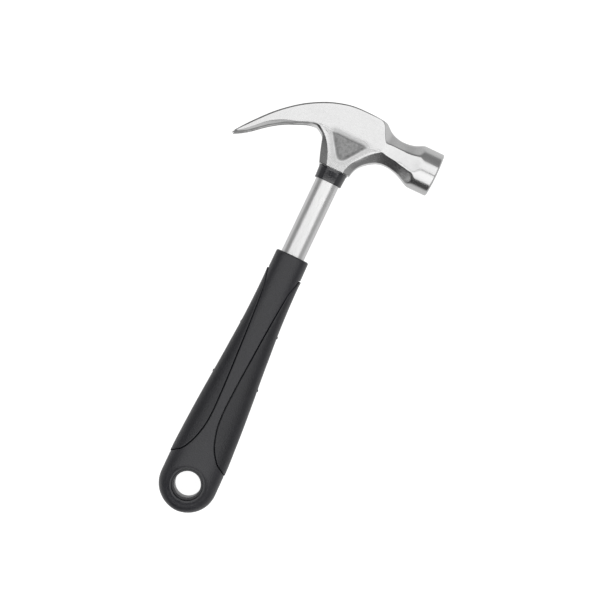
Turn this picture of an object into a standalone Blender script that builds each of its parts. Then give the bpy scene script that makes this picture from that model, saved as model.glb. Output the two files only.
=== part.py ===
"""Claw hammer with a forged head on a tubular steel handle and a two-part moulded grip.

The hammer lies on its side.  +Y runs along the handle towards the head, +X towards the striking
face and +Z up, across the head's thickness.  The design frame has its origin where the tube's
axis meets the top of the collar ring; the last step moves the whole hammer so that the origin
is the bottom centre of its box.  Design lengths are in millimetres and MM turns them into metres.
"""

import math

import bmesh
import bpy
from mathutils import Vector

MM = 0.001
GAP = 0.3                       # clearance between neighbouring pieces
TINY = 0.001                    # points closer than this are one point
SMOOTH_ANGLE = math.radians(30.0)   # edges flatter than this are shaded smooth

# --- head: bell, neck and striking face -----------------------------------------------------
BELL_RADIUS = 14.75
BELL_AXIS_Y = 24.8
FACE_X = 62.0                   # striking face
FACE_CHAMFER = 1.1
WAIST_X = 31.5                  # thinnest octagonal section of the neck
WAIST_APOTHEM = 9.45
WAIST_AXIS_Y = 25.72
FLARE_START_X = 30.0            # the neck swells into the bell on an arc from here
FLARE_RADIUS = 30.5
SIDE_APOTHEM = 10.3             # the neck is thicker than it is tall, up to the bell
SIDE_FLARE_START_X = 33.0
SIDE_FLARE_RADIUS = 34.0
NECK_AXIS_END_X = 42.0          # where the neck's axis joins the bell's
OCTAGON_CORNERS = (22.5, 67.5, 112.5, 157.5)
HALF_FACET = math.radians(22.5)

# --- head: ridge lines, one point for each key station after the waist, as far as the claw tip --
HEAD_HALF = 12.4                # half the thickness across the flat cheeks
EDGE_HALF = HEAD_HALF - 0.8     # the cheeks' long edges are bevelled down to here
TOP_EDGE = [(27.0, 36.3, 4.6), (23.2, 38.2, 5.4), (19.5, 41.1, 8.4), (16.3, 41.7, EDGE_HALF),
            (6.0, 42.3, EDGE_HALF), (-6.9, 41.7, EDGE_HALF), (-19.8, 38.1, EDGE_HALF),
            (-29.5, 33.4, 11.5), (-36.6, 29.0, 11.4), (-44.0, 23.2, 11.3), (-52.3, 15.4, 11.2),
            (-61.9, 4.2, 11.0), (-68.8, -4.8, 10.6)]
SIDE_UPPER = [(27.0, 29.6, 10.9), (23.2, 29.5, HEAD_HALF), (19.6, 35.6, HEAD_HALF),
              (16.2, 40.9, HEAD_HALF), (6.0, 41.4, HEAD_HALF), (-6.6, 40.8, HEAD_HALF),
              (-19.2, 37.2, HEAD_HALF), (-28.9, 32.5, 12.3), (-35.9, 28.1, 12.2),
              (-43.2, 22.5, 12.1), (-51.4, 14.7, 12.0), (-60.9, 3.7, 11.8), (-68.1, -5.0, 11.2)]
SIDE_LOWER = [(27.0, 22.2, 10.9), (23.2, 23.0, HEAD_HALF), (19.5, 22.1, HEAD_HALF),
              (15.0, 21.1, HEAD_HALF), (5.0, 20.5, HEAD_HALF), (-6.5, 20.6, HEAD_HALF),
              (-20.5, 21.8, HEAD_HALF), (-27.5, 20.3, 12.3), (-33.8, 17.6, 12.2),
              (-42.1, 14.9, 12.1), (-51.7, 9.4, 12.0), (-61.4, -0.1, 11.8), (-69.3, -5.9, 11.2)]
NECK_UNDER = [(27.0, 16.3, 4.5), (23.0, 15.2, 4.5)]
CLAW_UNDER = [(-21.6, 20.4, 10.6), (-28.0, 19.5, 11.0), (-34.2, 16.8, 10.7), (-42.1, 13.0, 9.2),
              (-51.1, 6.9, 8.0), (-61.0, -1.6, 7.8), (-69.8, -7.0, 8.6)]
FRONT_KEY = 2                   # key station where the cheek meets the neck
REAR_KEY = 7                    # key station where the claw leaves the eye
NOTCH_KEY = 9                   # key station of the notch's root
STATION_STEPS = [2, 2, 2, 2, 3, 3, 4, 3, 3, 3, 3, 3, 3]

# --- head: the eye neck that runs down to the collar -----------------------------------------
EYE_FRONT_EDGE = [(23.2, 23.0, HEAD_HALF), (18.4, 18.6, 12.0), (12.8, 12.4, 11.4), (8.4, 6.3, 10.9),
                  (6.3, 0.0, 10.5)]
EYE_FRONT_FACE = [(23.0, 15.2, 4.5), (19.0, 12.8, 8.2), (14.9, 9.2, 8.7), (12.2, 4.9, 8.2),
                  (11.1, 0.0, 7.2)]
EYE_REAR_EDGE = [(-20.5, 21.8, HEAD_HALF), (-14.7, 17.3, 12.0), (-10.6, 12.4, 11.4),
                 (-7.1, 6.3, 10.9), (-5.1, 0.0, 10.5)]
EYE_REAR_FACE = [(-21.6, 20.4, 10.6), (-16.5, 16.9, 10.2), (-14.6, 11.9, 8.2), (-12.6, 5.7, 7.6),
                 (-10.5, 0.0, 7.0)]
EYE_ROW_STEPS = [3, 3, 2, 2]
RIB_TOP_Z = 12.0                # the eye neck's side face, just under the cheek and at the collar
RIB_BOTTOM_Z = 10.5
RECESS_DEPTH = 1.5              # three-sided hollow in each side of the eye neck
RECESS_TOP_Y = 20.4
RECESS_FOOT_Y = 5.8
RECESS_TOP_X = (-10.3, 12.2)
RECESS_FOOT_X = (-1.6, 3.0)
RECESS_SOFTNESS = 2.0

# --- head: notch between the tines, and the eye ----------------------------------------------
NOTCH_ROOT_HALF = 1.3
NOTCH_TIP_HALF = 4.4
EYE_RADIUS = 8.3
EYE_CROWN_RADIUS = 9.2          # the eye is flared at the crown
EYE_FLARE_DEPTH = 1.2
CROWN_Y = 42.3

# --- how many facets lie between two ridge lines ----------------------------------------------
ACROSS = 3
BELL_RINGS = 7
HALVINGS = 40

# --- handle tube and its plugs -----------------------------------------------------------------
TUBE_RADIUS = 8.0
TUBE_BORE = 6.5
TUBE_TOP_Y = 41.0
TUBE_BOTTOM_Y = -205.0
ROUND_SEGMENTS = 40
PLUG_RADIUS = 6.2
TOP_PLUG_BOTTOM_Y = 22.0
TOP_PLUG_TOP_Y = 40.2
TOP_PLUG_DOME = 0.8
TOP_PLUG_CHAMFER = 0.8
END_PLUG_TOP_Y = -194.0
END_PLUG_FLANGE = 1.5

# --- collar ring under the head ----------------------------------------------------------------
COLLAR_TOP_RADIUS = 9.9
COLLAR_BOTTOM_RADIUS = 9.15
COLLAR_BOTTOM_Y = -9.2
COLLAR_RIM = 0.9                # the top rim stands out by the lip
COLLAR_LIP = 0.3
COLLAR_BORE = TUBE_RADIUS + GAP

# --- grip ----------------------------------------------------------------------------------------
GRIP_TOP_Y = -62.0
GRIP_TILT = math.radians(0.76)  # the grip leans towards the striking face
GRIP_TOP_OFFSET_X = 0.2
BUTT_RADIUS = 19.3
BUTT_CENTRE_Y = -224.3
BUTT_THICKNESS_POWER = 0.55
# y, half-width and half-thickness of the grip's core
GRIP_SECTIONS = [(-63.4, 11.3, 11.3), (-74.0, 11.4, 11.4), (-92.0, 11.7, 11.4), (-104.0, 12.1, 11.5),
                 (-116.0, 12.75, 11.7), (-128.0, 13.65, 12.0), (-140.0, 14.55, 12.4),
                 (-158.0, 16.05, 12.9), (-176.0, 17.45, 13.4), (-194.0, 18.55, 13.7),
                 (-206.0, 19.15, 13.7), (-224.3, 19.3, 13.3)]
GRIP_MOUTH = [(0.0, 1.0), (0.4, 0.3)]   # rounding of the top rim: depth and how far in
GRIP_SQUARENESS = 2.3           # exponent of the section's superellipse
GRIP_SEGMENTS = 28
GRIP_SPANS = 26
BUTT_RINGS = 6
CORE_BLIND_Y = TUBE_BOTTOM_Y - END_PLUG_FLANGE - 2 * GAP
HANG_HOLE_Y = -224.7
HANG_HOLE_RADIUS = 8.7
HANG_RECESS_RADIUS = 10.7
HANG_RECESS_FLOOR = 9.0         # half-thickness left between the two recess floors

# --- soft pads set into the core's front and rear ------------------------------------------------
PAD_TOP_Y = -75.0
PAD_BOTTOM_Y = -210.6
PAD_DEPTH = 2.6
PAD_PROUD = 0.35
# y, middle and half-width of the spine left between the two pads
SPINE = [(-75.0, 0.1, 10.9), (-86.0, 0.1, 8.6), (-102.0, 0.1, 7.1), (-118.0, 0.1, 5.9),
         (-134.0, 0.1, 4.9), (-150.0, 0.1, 3.95), (-166.0, 0.1, 3.3), (-174.0, 0.2, 3.2),
         (-182.0, 0.3, 3.7), (-189.0, 0.5, 5.1), (-197.0, 0.8, 7.8), (-204.8, 1.5, 12.7),
         (-210.6, 2.1, 19.6)]
SPINE_STEPS = 2
CUTTER_REACH = 30.0             # half-size of the cutters beyond the pieces they cut

# --- finishes: base colour, metallic, roughness --------------------------------------------------
FINISHES = {
    "polished_steel": ((0.78, 0.78, 0.77), 1.0, 0.28),
    "satin_tube": ((0.80, 0.80, 0.80), 1.0, 0.33),
    "plug_steel": ((0.55, 0.55, 0.56), 1.0, 0.42),
    "gloss_black": ((0.030, 0.030, 0.033), 0.0, 0.25),
    "grip_hard": ((0.038, 0.039, 0.042), 0.0, 0.55),
    "grip_soft": ((0.030, 0.031, 0.034), 0.0, 0.68),
    "plug_plastic": ((0.10, 0.10, 0.11), 0.0, 0.50),
}


def clear_scene():
    """Remove whatever the file holds."""
    for old in list(bpy.data.objects):
        bpy.data.objects.remove(old, do_unlink=True)


def make_material(name):
    """Return the Principled material of one finish."""
    found = bpy.data.materials.get(name)
    if found:
        return found
    colour, metallic, roughness = FINISHES[name]
    material = bpy.data.materials.new(name)
    material.use_nodes = True
    shader = material.node_tree.nodes["Principled BSDF"]
    shader.inputs["Base Color"].default_value = (*colour, 1.0)
    shader.inputs["Metallic"].default_value = metallic
    shader.inputs["Roughness"].default_value = roughness
    material.diffuse_color = (*colour, 1.0)
    return material


def make_object(name, bm, finish):
    """Turn a bmesh in millimetres into a named object in metres."""
    bmesh.ops.remove_doubles(bm, verts=bm.verts, dist=TINY)
    bmesh.ops.recalc_face_normals(bm, faces=bm.faces)
    bmesh.ops.scale(bm, vec=(MM, MM, MM), verts=bm.verts)
    mesh = bpy.data.meshes.new(name)
    bm.to_mesh(mesh)
    bm.free()
    mesh.shade_smooth()
    mesh.set_sharp_from_angle(angle=SMOOTH_ANGLE)
    mesh.materials.append(make_material(finish))
    piece = bpy.data.objects.new(name, mesh)
    bpy.context.scene.collection.objects.link(piece)
    return piece


def as_cutter(piece):
    """Mark an object as a tool for a Boolean, not a piece of the hammer."""
    piece.hide_render = True
    piece.display_type = "WIRE"
    return piece


def add_boolean(piece, cutter, operation="DIFFERENCE"):
    """Cut or intersect a piece with a cutter."""
    modifier = piece.modifiers.new(operation.title(), "BOOLEAN")
    modifier.operation = operation
    modifier.object = as_cutter(cutter)
    modifier.solver = "EXACT"


# ----------------------------------------------------------------------------------- curves
def cubic_segment(before, start, end, after, t):
    """Catmull-Rom curve between start and end, which the points before and after steer."""
    return 0.5 * ((2 * start) + (end - before) * t
                  + (2 * before - 5 * start + 4 * end - after) * t * t
                  + (3 * start - before - 3 * end + after) * t ** 3)


def smooth_line(points, steps):
    """Points along a smooth curve through the given ones, with steps[i] intervals in span i."""
    knots = [Vector(point) for point in points]
    knots = [2 * knots[0] - knots[1]] + knots + [2 * knots[-1] - knots[-2]]
    line = []
    for span, count in enumerate(steps):
        for step in range(count):
            line.append(cubic_segment(*knots[span:span + 4], step / count))
    line.append(knots[-2].copy())
    return line


def table_value(table, key, column):
    """Read a column of a table of (key, value, ...) rows on a smooth curve."""
    rows = sorted(table)
    if key <= rows[0][0]:
        return rows[0][column]
    if key >= rows[-1][0]:
        return rows[-1][column]
    last = len(rows) - 1
    span = next(i for i in range(last) if key <= rows[i + 1][0])
    t = (key - rows[span][0]) / (rows[span + 1][0] - rows[span][0])
    around = [rows[min(max(i, 0), last)][column] for i in range(span - 1, span + 3)]
    return cubic_segment(*around, t)


def smoothstep(value, width):
    """Rise from 0 to 1 over a width."""
    t = min(max(value / width, 0.0), 1.0)
    return t * t * (3.0 - 2.0 * t)


# ----------------------------------------------------------------------------------- patches
def add_patch(bm, grid):
    """Fill a grid of points with quads."""
    rows = [[bm.verts.new(point) for point in row] for row in grid]
    for upper, lower in zip(rows, rows[1:]):
        for j in range(len(upper) - 1):
            corners = [upper[j], upper[j + 1], lower[j + 1], lower[j]]
            if (corners[0].co - corners[3].co).length < TINY:
                corners.pop()
            bm.faces.new(corners)


def add_polygon(bm, points):
    """Fill a flat outline with one face."""
    bm.faces.new([bm.verts.new(point) for point in points])


def spread(start, end, count):
    """Points on the straight line between two ridge lines."""
    return [start.lerp(end, step / count) for step in range(count + 1)]


def across_lines(corners, count=ACROSS):
    """Points across several ridge lines, with count intervals between each pair."""
    points = [corners[0]]
    for start, end in zip(corners, corners[1:]):
        points += spread(start, end, count)[1:]
    return points


# ----------------------------------------------------------------------------------- head
def octagon_directions():
    """Angle from +Y and chord factor of each point of half an octagonal section."""
    corners = [0.0, *OCTAGON_CORNERS, 180.0]
    directions = []
    for start, end in zip(corners, corners[1:]):
        facet = 45.0 * round((start + end) / 90.0)
        low = math.tan(math.radians(start - facet))
        high = math.tan(math.radians(end - facet))
        first = 0 if not directions else 1
        for step in range(first, ACROSS + 1):
            away = math.atan(low + (high - low) * step / ACROSS)
            angle = math.radians(facet) + away
            directions.append((angle, math.cos(HALF_FACET) / math.cos(away)))
    return directions


def flare_apothem(x):
    """Distance from the neck's axis to its facets."""
    run = max(x - FLARE_START_X, 0.0)
    return WAIST_APOTHEM + FLARE_RADIUS - math.sqrt(FLARE_RADIUS ** 2 - run ** 2)


def side_stretch(x):
    """How much thicker than a regular octagon the neck is."""
    run = max(x - SIDE_FLARE_START_X, 0.0)
    side = SIDE_APOTHEM + SIDE_FLARE_RADIUS - math.sqrt(SIDE_FLARE_RADIUS ** 2 - run ** 2)
    return side / flare_apothem(x)


def neck_axis_y(x):
    """The neck's axis drops a little from the waist to the bell."""
    t = min((x - WAIST_X) / (NECK_AXIS_END_X - WAIST_X), 1.0)
    return WAIST_AXIS_Y + (BELL_AXIS_Y - WAIST_AXIS_Y) * t


def neck_offset(x, angle, chord_factor):
    """A point of the neck's octagon, as seen from its axis."""
    radius = flare_apothem(x) * chord_factor / math.cos(HALF_FACET)
    return Vector((radius * math.cos(angle), radius * math.sin(angle) * side_stretch(x)))


def flare_end(angle, chord_factor):
    """Where the swelling facet reaches the bell's surface, found by halving."""
    low, high = WAIST_X, FACE_X - FACE_CHAMFER - 1.0
    for _ in range(HALVINGS):
        middle = (low + high) / 2
        if neck_offset(middle, angle, chord_factor).length < BELL_RADIUS:
            low = middle
        else:
            high = middle
    return low


def bell_patch():
    """Half of the neck from the waist, and of the bell, as rings of points."""
    directions = octagon_directions()
    ends = [flare_end(angle, chord_factor) for angle, chord_factor in directions]
    rings = []
    for ring in range(BELL_RINGS + 1):
        points = []
        for (angle, chord_factor), end in zip(directions, ends):
            x = WAIST_X + (end - WAIST_X) * ring / BELL_RINGS
            across, up = neck_offset(x, angle, chord_factor)
            points.append(Vector((x, neck_axis_y(x) + across, up)))
        rings.append(points)
    for x, radius in ((FACE_X - FACE_CHAMFER, BELL_RADIUS), (FACE_X, BELL_RADIUS - FACE_CHAMFER)):
        points = []
        for point in rings[BELL_RINGS]:
            away = Vector((point.y - BELL_AXIS_Y, point.z)).normalized() * radius
            points.append(Vector((x, BELL_AXIS_Y + away.x, away.y)))
        rings.append(points)
    return rings


def waist_corner(number):
    """One corner of the neck's thinnest section, counted from the top."""
    across, up = neck_offset(WAIST_X, math.radians(OCTAGON_CORNERS[number]), 1.0)
    return Vector((WAIST_X, WAIST_AXIS_Y + across, up))


def notch_half(station):
    """Half-width of the notch between the tines at a station."""
    root = sum(STATION_STEPS[:NOTCH_KEY])
    if station <= root:
        return 0.0
    t = (station - root) / (sum(STATION_STEPS) - root)
    return NOTCH_ROOT_HALF + (NOTCH_TIP_HALF - NOTCH_ROOT_HALF) * t


def inward(point, z):
    """The same place in side view, moved to another height."""
    return Vector((point.x, point.y, z))


def recess_depth(x, y):
    """Depth of the three-sided hollow in the eye neck's side."""
    t = (y - RECESS_FOOT_Y) / (RECESS_TOP_Y - RECESS_FOOT_Y)
    left = RECESS_FOOT_X[0] + (RECESS_TOP_X[0] - RECESS_FOOT_X[0]) * t
    right = RECESS_FOOT_X[1] + (RECESS_TOP_X[1] - RECESS_FOOT_X[1]) * t
    inside = min(x - left, right - x, y - RECESS_FOOT_Y, (RECESS_TOP_Y + RECESS_SOFTNESS) - y)
    return RECESS_DEPTH * smoothstep(inside, RECESS_SOFTNESS)


def eye_side_point(x, y):
    """A point of the eye neck's side face."""
    rib = RIB_BOTTOM_Z + (RIB_TOP_Z - RIB_BOTTOM_Z) * min(y / RECESS_TOP_Y, 1.0)
    return Vector((x, y, rib - recess_depth(x, y)))


def eye_rows(lower_line):
    """Rows of points down the eye neck, from the cheek's lower edge to the collar."""
    front_edge = smooth_line(EYE_FRONT_EDGE, EYE_ROW_STEPS)
    front_face = smooth_line(EYE_FRONT_FACE, EYE_ROW_STEPS)
    rear_edge = smooth_line(EYE_REAR_EDGE, EYE_ROW_STEPS)
    rear_face = smooth_line(EYE_REAR_FACE, EYE_ROW_STEPS)
    last_row = len(front_edge) - 1
    last_column = len(lower_line) - 1
    rows = []
    for v in range(last_row + 1):
        down = v / last_row
        side = []
        for u, top in enumerate(lower_line):
            along = u / last_column
            bottom = front_edge[-1].lerp(rear_edge[-1], along)
            point = top.lerp(bottom, down) + front_edge[v].lerp(rear_edge[v], along)
            start = front_edge[0].lerp(rear_edge[0], along)
            point -= start.lerp(front_edge[-1].lerp(rear_edge[-1], along), down)
            if 0 < v and 0 < u < last_column:
                point = eye_side_point(point.x, point.y)
            side.append(point)
        front = across_lines([inward(front_face[v], 0.0), front_face[v], side[0]])
        rear = across_lines([side[-1], rear_face[v], inward(rear_face[v], 0.0)])
        rows.append(front + side[1:-1] + rear)
    return rows


def half_head():
    """The half of the head above its middle plane, open along that plane."""
    bm = bmesh.new()
    rings = bell_patch()
    add_patch(bm, rings)
    add_polygon(bm, rings[-1])

    neck_steps = STATION_STEPS[:FRONT_KEY]
    claw_steps = STATION_STEPS[REAR_KEY:]
    front = sum(neck_steps)
    rear = sum(STATION_STEPS[:REAR_KEY])
    top_edge = smooth_line([waist_corner(0)] + TOP_EDGE, STATION_STEPS)
    side_upper = smooth_line([waist_corner(1)] + SIDE_UPPER, STATION_STEPS)
    side_lower = smooth_line([waist_corner(2)] + SIDE_LOWER, STATION_STEPS)
    neck_under = smooth_line([waist_corner(3)] + NECK_UNDER, neck_steps)
    claw_under = smooth_line(CLAW_UNDER, claw_steps)

    add_patch(bm, [across_lines([inward(top_edge[i], 0.0), top_edge[i], side_upper[i],
                                 side_lower[i], neck_under[i], inward(neck_under[i], 0.0)])
                   for i in range(front + 1)])
    add_patch(bm, [across_lines([inward(top_edge[i], notch_half(i)), top_edge[i],
                                 side_upper[i], side_lower[i]])
                   for i in range(front, len(top_edge))])
    add_patch(bm, [across_lines([side_lower[rear + i], claw_under[i],
                                 inward(claw_under[i], notch_half(rear + i))])
                   for i in range(len(claw_under))])

    root = sum(STATION_STEPS[:NOTCH_KEY])
    add_patch(bm, [[inward(top_edge[i], notch_half(i)), inward(claw_under[i - rear], notch_half(i))]
                   for i in range(root, len(top_edge))])
    tip = notch_half(len(top_edge) - 1)
    tip_top = across_lines([inward(top_edge[-1], tip), top_edge[-1], side_upper[-1],
                            side_lower[-1], claw_under[-1], inward(claw_under[-1], tip)])
    add_polygon(bm, tip_top)

    rows = eye_rows(side_lower[front:rear + 1])
    add_patch(bm, rows)
    add_polygon(bm, rows[-1])
    return bm


def eye_cutter():
    """Through hole for the tube, flared at the crown."""
    profile = [(0.0, -CUTTER_REACH), (EYE_RADIUS, -CUTTER_REACH),
               (EYE_RADIUS, CROWN_Y - EYE_FLARE_DEPTH), (EYE_CROWN_RADIUS, CROWN_Y),
               (EYE_CROWN_RADIUS, CROWN_Y + CUTTER_REACH), (0.0, CROWN_Y + CUTTER_REACH)]
    return make_object("eye_cutter", turned(profile), "polished_steel")


def make_head():
    """The forged head in one piece."""
    head = make_object("head", half_head(), "polished_steel")
    mirror = head.modifiers.new("Mirror", "MIRROR")
    mirror.use_axis = (False, False, True)
    mirror.use_clip = True
    mirror.merge_threshold = TINY * MM
    add_boolean(head, eye_cutter())
    return head


# ----------------------------------------------------------------------------------- turned pieces
def turned(profile, centre=(0.0, 0.0), upright=False):
    """Spin a profile of (radius, distance along the axis) points into a closed solid.

    The axis lies along Y through the origin, or stands upright at a centre given as x and y.
    """
    bm = bmesh.new()
    loops = []
    for radius, along in profile:
        if radius < TINY:
            loops.append([bm.verts.new(place((0.0, along, 0.0), centre, upright))])
            continue
        loop = []
        for step in range(ROUND_SEGMENTS):
            angle = math.tau * step / ROUND_SEGMENTS
            point = (radius * math.cos(angle), along, radius * math.sin(angle))
            loop.append(bm.verts.new(place(point, centre, upright)))
        loops.append(loop)
    pairs = list(zip(loops, loops[1:]))
    if profile[0][0] > TINY:
        pairs.append((loops[-1], loops[0]))
    for first, second in pairs:
        bridge(bm, first, second)
    return bm


def place(point, centre, upright):
    """Lay a point of a turned piece along Y, or stand it along Z at a centre."""
    x, along, across = point
    if upright:
        return Vector((centre[0] + x, centre[1] - across, along))
    return Vector((x, along, across))


def bridge(bm, first, second):
    """Faces between two loops, either of which may be a single point."""
    count = max(len(first), len(second))
    for i in range(count):
        j = (i + 1) % count
        corners = [first[i % len(first)], first[j % len(first)],
                   second[j % len(second)], second[i % len(second)]]
        unique = []
        for corner in corners:
            if corner not in unique:
                unique.append(corner)
        bm.faces.new(unique)


def make_tube():
    """Steel tube from the crown to the lower end of the grip."""
    profile = [(TUBE_RADIUS, TUBE_TOP_Y), (TUBE_RADIUS, TUBE_BOTTOM_Y),
               (TUBE_BORE, TUBE_BOTTOM_Y), (TUBE_BORE, TUBE_TOP_Y)]
    return make_object("handle_tube", turned(profile), "satin_tube")


def make_expansion_plug():
    """Plug driven into the top of the tube, which spreads it in the eye."""
    end_radius = PLUG_RADIUS - TOP_PLUG_CHAMFER
    profile = [(0.0, TOP_PLUG_BOTTOM_Y), (end_radius, TOP_PLUG_BOTTOM_Y),
               (PLUG_RADIUS, TOP_PLUG_BOTTOM_Y + TOP_PLUG_CHAMFER),
               (PLUG_RADIUS, TOP_PLUG_TOP_Y - TOP_PLUG_CHAMFER),
               (end_radius, TOP_PLUG_TOP_Y), (0.0, TOP_PLUG_TOP_Y + TOP_PLUG_DOME)]
    return make_object("expansion_plug", turned(profile), "plug_steel")


def make_tube_end_plug():
    """Flanged plug that closes the lower end of the tube inside the grip."""
    flange_top = TUBE_BOTTOM_Y - GAP
    flange_bottom = flange_top - END_PLUG_FLANGE
    profile = [(0.0, END_PLUG_TOP_Y), (PLUG_RADIUS, END_PLUG_TOP_Y), (PLUG_RADIUS, flange_top),
               (TUBE_RADIUS, flange_top), (TUBE_RADIUS, flange_bottom), (0.0, flange_bottom)]
    return make_object("tube_end_plug", turned(profile), "plug_plastic")


def make_collar():
    """Black ring between the head and the tube."""
    top = -GAP
    rim_foot = top - COLLAR_RIM
    profile = [(COLLAR_BORE, top), (COLLAR_TOP_RADIUS, top), (COLLAR_TOP_RADIUS, rim_foot),
               (COLLAR_TOP_RADIUS - COLLAR_LIP, rim_foot - COLLAR_LIP),
               (COLLAR_BOTTOM_RADIUS, COLLAR_BOTTOM_Y), (COLLAR_BORE, COLLAR_BOTTOM_Y)]
    return make_object("collar_ring", turned(profile), "gloss_black")


# ----------------------------------------------------------------------------------- grip
def grip_centre_x(y):
    """The grip's middle line in side view."""
    return GRIP_TOP_OFFSET_X + (GRIP_TOP_Y - y) * math.tan(GRIP_TILT)


def grip_section(y, half_width, half_thickness, offset=0.0):
    """One superellipse section of the grip, grown by an offset."""
    points = []
    power = 2.0 / GRIP_SQUARENESS
    for step in range(GRIP_SEGMENTS):
        angle = math.tau * step / GRIP_SEGMENTS
        across = math.copysign(abs(math.cos(angle)) ** power, math.cos(angle))
        up = math.copysign(abs(math.sin(angle)) ** power, math.sin(angle))
        points.append(Vector((grip_centre_x(y) + (half_width + offset) * across, y,
                              (half_thickness + offset) * up)))
    return points


def grip_stations(offset):
    """y, half-width and half-thickness from the top of the grip to its butt."""
    top, top_width, top_thickness = GRIP_SECTIONS[0]
    stations = [(GRIP_TOP_Y - depth, top_width - inset, top_thickness - inset)
                for depth, inset in GRIP_MOUTH]
    for step in range(GRIP_SPANS + 1):
        y = top + (BUTT_CENTRE_Y - top) * step / GRIP_SPANS
        stations.append((y, table_value(GRIP_SECTIONS, y, 1), table_value(GRIP_SECTIONS, y, 2)))
    thickness = GRIP_SECTIONS[-1][2]
    for ring in range(1, BUTT_RINGS):
        angle = math.radians(90.0) * ring / BUTT_RINGS
        stations.append((BUTT_CENTRE_Y - (BUTT_RADIUS + offset) * math.sin(angle),
                         BUTT_RADIUS * math.cos(angle),
                         thickness * math.cos(angle) ** BUTT_THICKNESS_POWER))
    return stations


def grip_loft(offset):
    """Closed loft of the grip's outer shape, grown by an offset."""
    bm = bmesh.new()
    loops = []
    for y, half_width, half_thickness in grip_stations(offset):
        section = grip_section(y, half_width, half_thickness, offset)
        loops.append([bm.verts.new(point) for point in section])
    for first, second in zip(loops, loops[1:]):
        bridge(bm, first, second)
    end_y = BUTT_CENTRE_Y - BUTT_RADIUS - offset
    bridge(bm, loops[-1], [bm.verts.new((grip_centre_x(end_y), end_y, 0.0))])
    bm.faces.new(loops[0])
    return bm


def pad_region(side, shrink):
    """Prism over one pad as seen from the side: +1 is the front pad and -1 the rear one."""
    steps = [SPINE_STEPS] * (len(SPINE) - 1)
    edge = smooth_line([(middle + side * half, y, 0.0) for y, middle, half in SPINE], steps)
    outline = [(point.x + side * shrink, point.y) for point in edge]
    outline[0] = (outline[0][0], PAD_TOP_Y - shrink)
    outline[-1] = (outline[-1][0], PAD_BOTTOM_Y + shrink)
    outline += [(side * CUTTER_REACH, PAD_BOTTOM_Y + shrink),
                (side * CUTTER_REACH, PAD_TOP_Y - shrink)]
    bm = bmesh.new()
    lower = [bm.verts.new((x, y, -CUTTER_REACH)) for x, y in outline]
    upper = [bm.verts.new((x, y, CUTTER_REACH)) for x, y in outline]
    bridge(bm, lower, upper)
    bm.faces.new(lower)
    bm.faces.new(upper)
    return bm


def make_pad(name, side):
    """Soft pad that wraps round one edge of the grip."""
    pad = make_object(name, grip_loft(PAD_PROUD), "grip_soft")
    add_boolean(pad, make_object(name + "_region", pad_region(side, 0.0), "grip_soft"), "INTERSECT")
    add_boolean(pad, make_object(name + "_bed", grip_loft(-PAD_DEPTH), "grip_soft"))
    return pad


def pad_seat_cutter(name, side):
    """What the core loses for one pad: its region, down to the bed that the pad lies on."""
    seat = make_object(name, pad_region(side, -GAP), "grip_hard")
    add_boolean(seat, make_object(name + "_bed", grip_loft(-PAD_DEPTH - GAP), "grip_hard"))
    return seat


def make_grip_core():
    """Hard core with its spine and butt, bored for the tube and pierced for hanging."""
    core = make_object("grip_core", grip_loft(0.0), "grip_hard")
    for name, side in (("front_seat", 1), ("rear_seat", -1)):
        add_boolean(core, pad_seat_cutter(name, side))
    bore = [(0.0, CORE_BLIND_Y), (TUBE_RADIUS + GAP, CORE_BLIND_Y),
            (TUBE_RADIUS + GAP, GRIP_TOP_Y + CUTTER_REACH), (0.0, GRIP_TOP_Y + CUTTER_REACH)]
    add_boolean(core, make_object("tube_bore", turned(bore), "grip_hard"))
    hole_x = grip_centre_x(HANG_HOLE_Y)
    hole = [(0.0, -CUTTER_REACH), (HANG_RECESS_RADIUS, -CUTTER_REACH),
            (HANG_RECESS_RADIUS, -HANG_RECESS_FLOOR), (HANG_HOLE_RADIUS, -HANG_RECESS_FLOOR),
            (HANG_HOLE_RADIUS, HANG_RECESS_FLOOR), (HANG_RECESS_RADIUS, HANG_RECESS_FLOOR),
            (HANG_RECESS_RADIUS, CUTTER_REACH), (0.0, CUTTER_REACH)]
    hole_cutter = turned(hole, (hole_x, HANG_HOLE_Y), upright=True)
    add_boolean(core, make_object("hang_hole_cutter", hole_cutter, "grip_hard"))
    return core


# ----------------------------------------------------------------------------------- assembly
def evaluated_box(pieces):
    """Lowest and highest corner of the finished pieces."""
    graph = bpy.context.evaluated_depsgraph_get()
    points = []
    for piece in pieces:
        mesh = piece.evaluated_get(graph).to_mesh()
        points += [vertex.co.copy() for vertex in mesh.vertices]
    low = Vector([min(point[i] for point in points) for i in range(3)])
    high = Vector([max(point[i] for point in points) for i in range(3)])
    return low, high


def rest_on_origin(pieces):
    """Move every object so that the origin is the bottom centre of the hammer's box."""
    low, high = evaluated_box(pieces)
    shift = Vector((-(low.x + high.x) / 2, -(low.y + high.y) / 2, -low.z))
    for item in bpy.data.objects:
        item.location += shift


def build():
    """Make every piece of the hammer."""
    clear_scene()
    pieces = [make_head(), make_tube(), make_expansion_plug(), make_tube_end_plug(),
              make_collar(), make_grip_core(), make_pad("front_pad", 1), make_pad("rear_pad", -1)]
    rest_on_origin(pieces)


build()
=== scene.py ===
"""Looks of the claw hammer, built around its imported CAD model.

The hammer lies on its side: +Y runs along the handle towards the head, +X towards the striking
face and +Z up, across the head's thickness.  Shapes are worked out in the hammer's own design
frame, in millimetres, whose origin is where the tube's axis meets the top of the collar ring,
and then moved to where the CAD nodes are.
"""

import math

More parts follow.
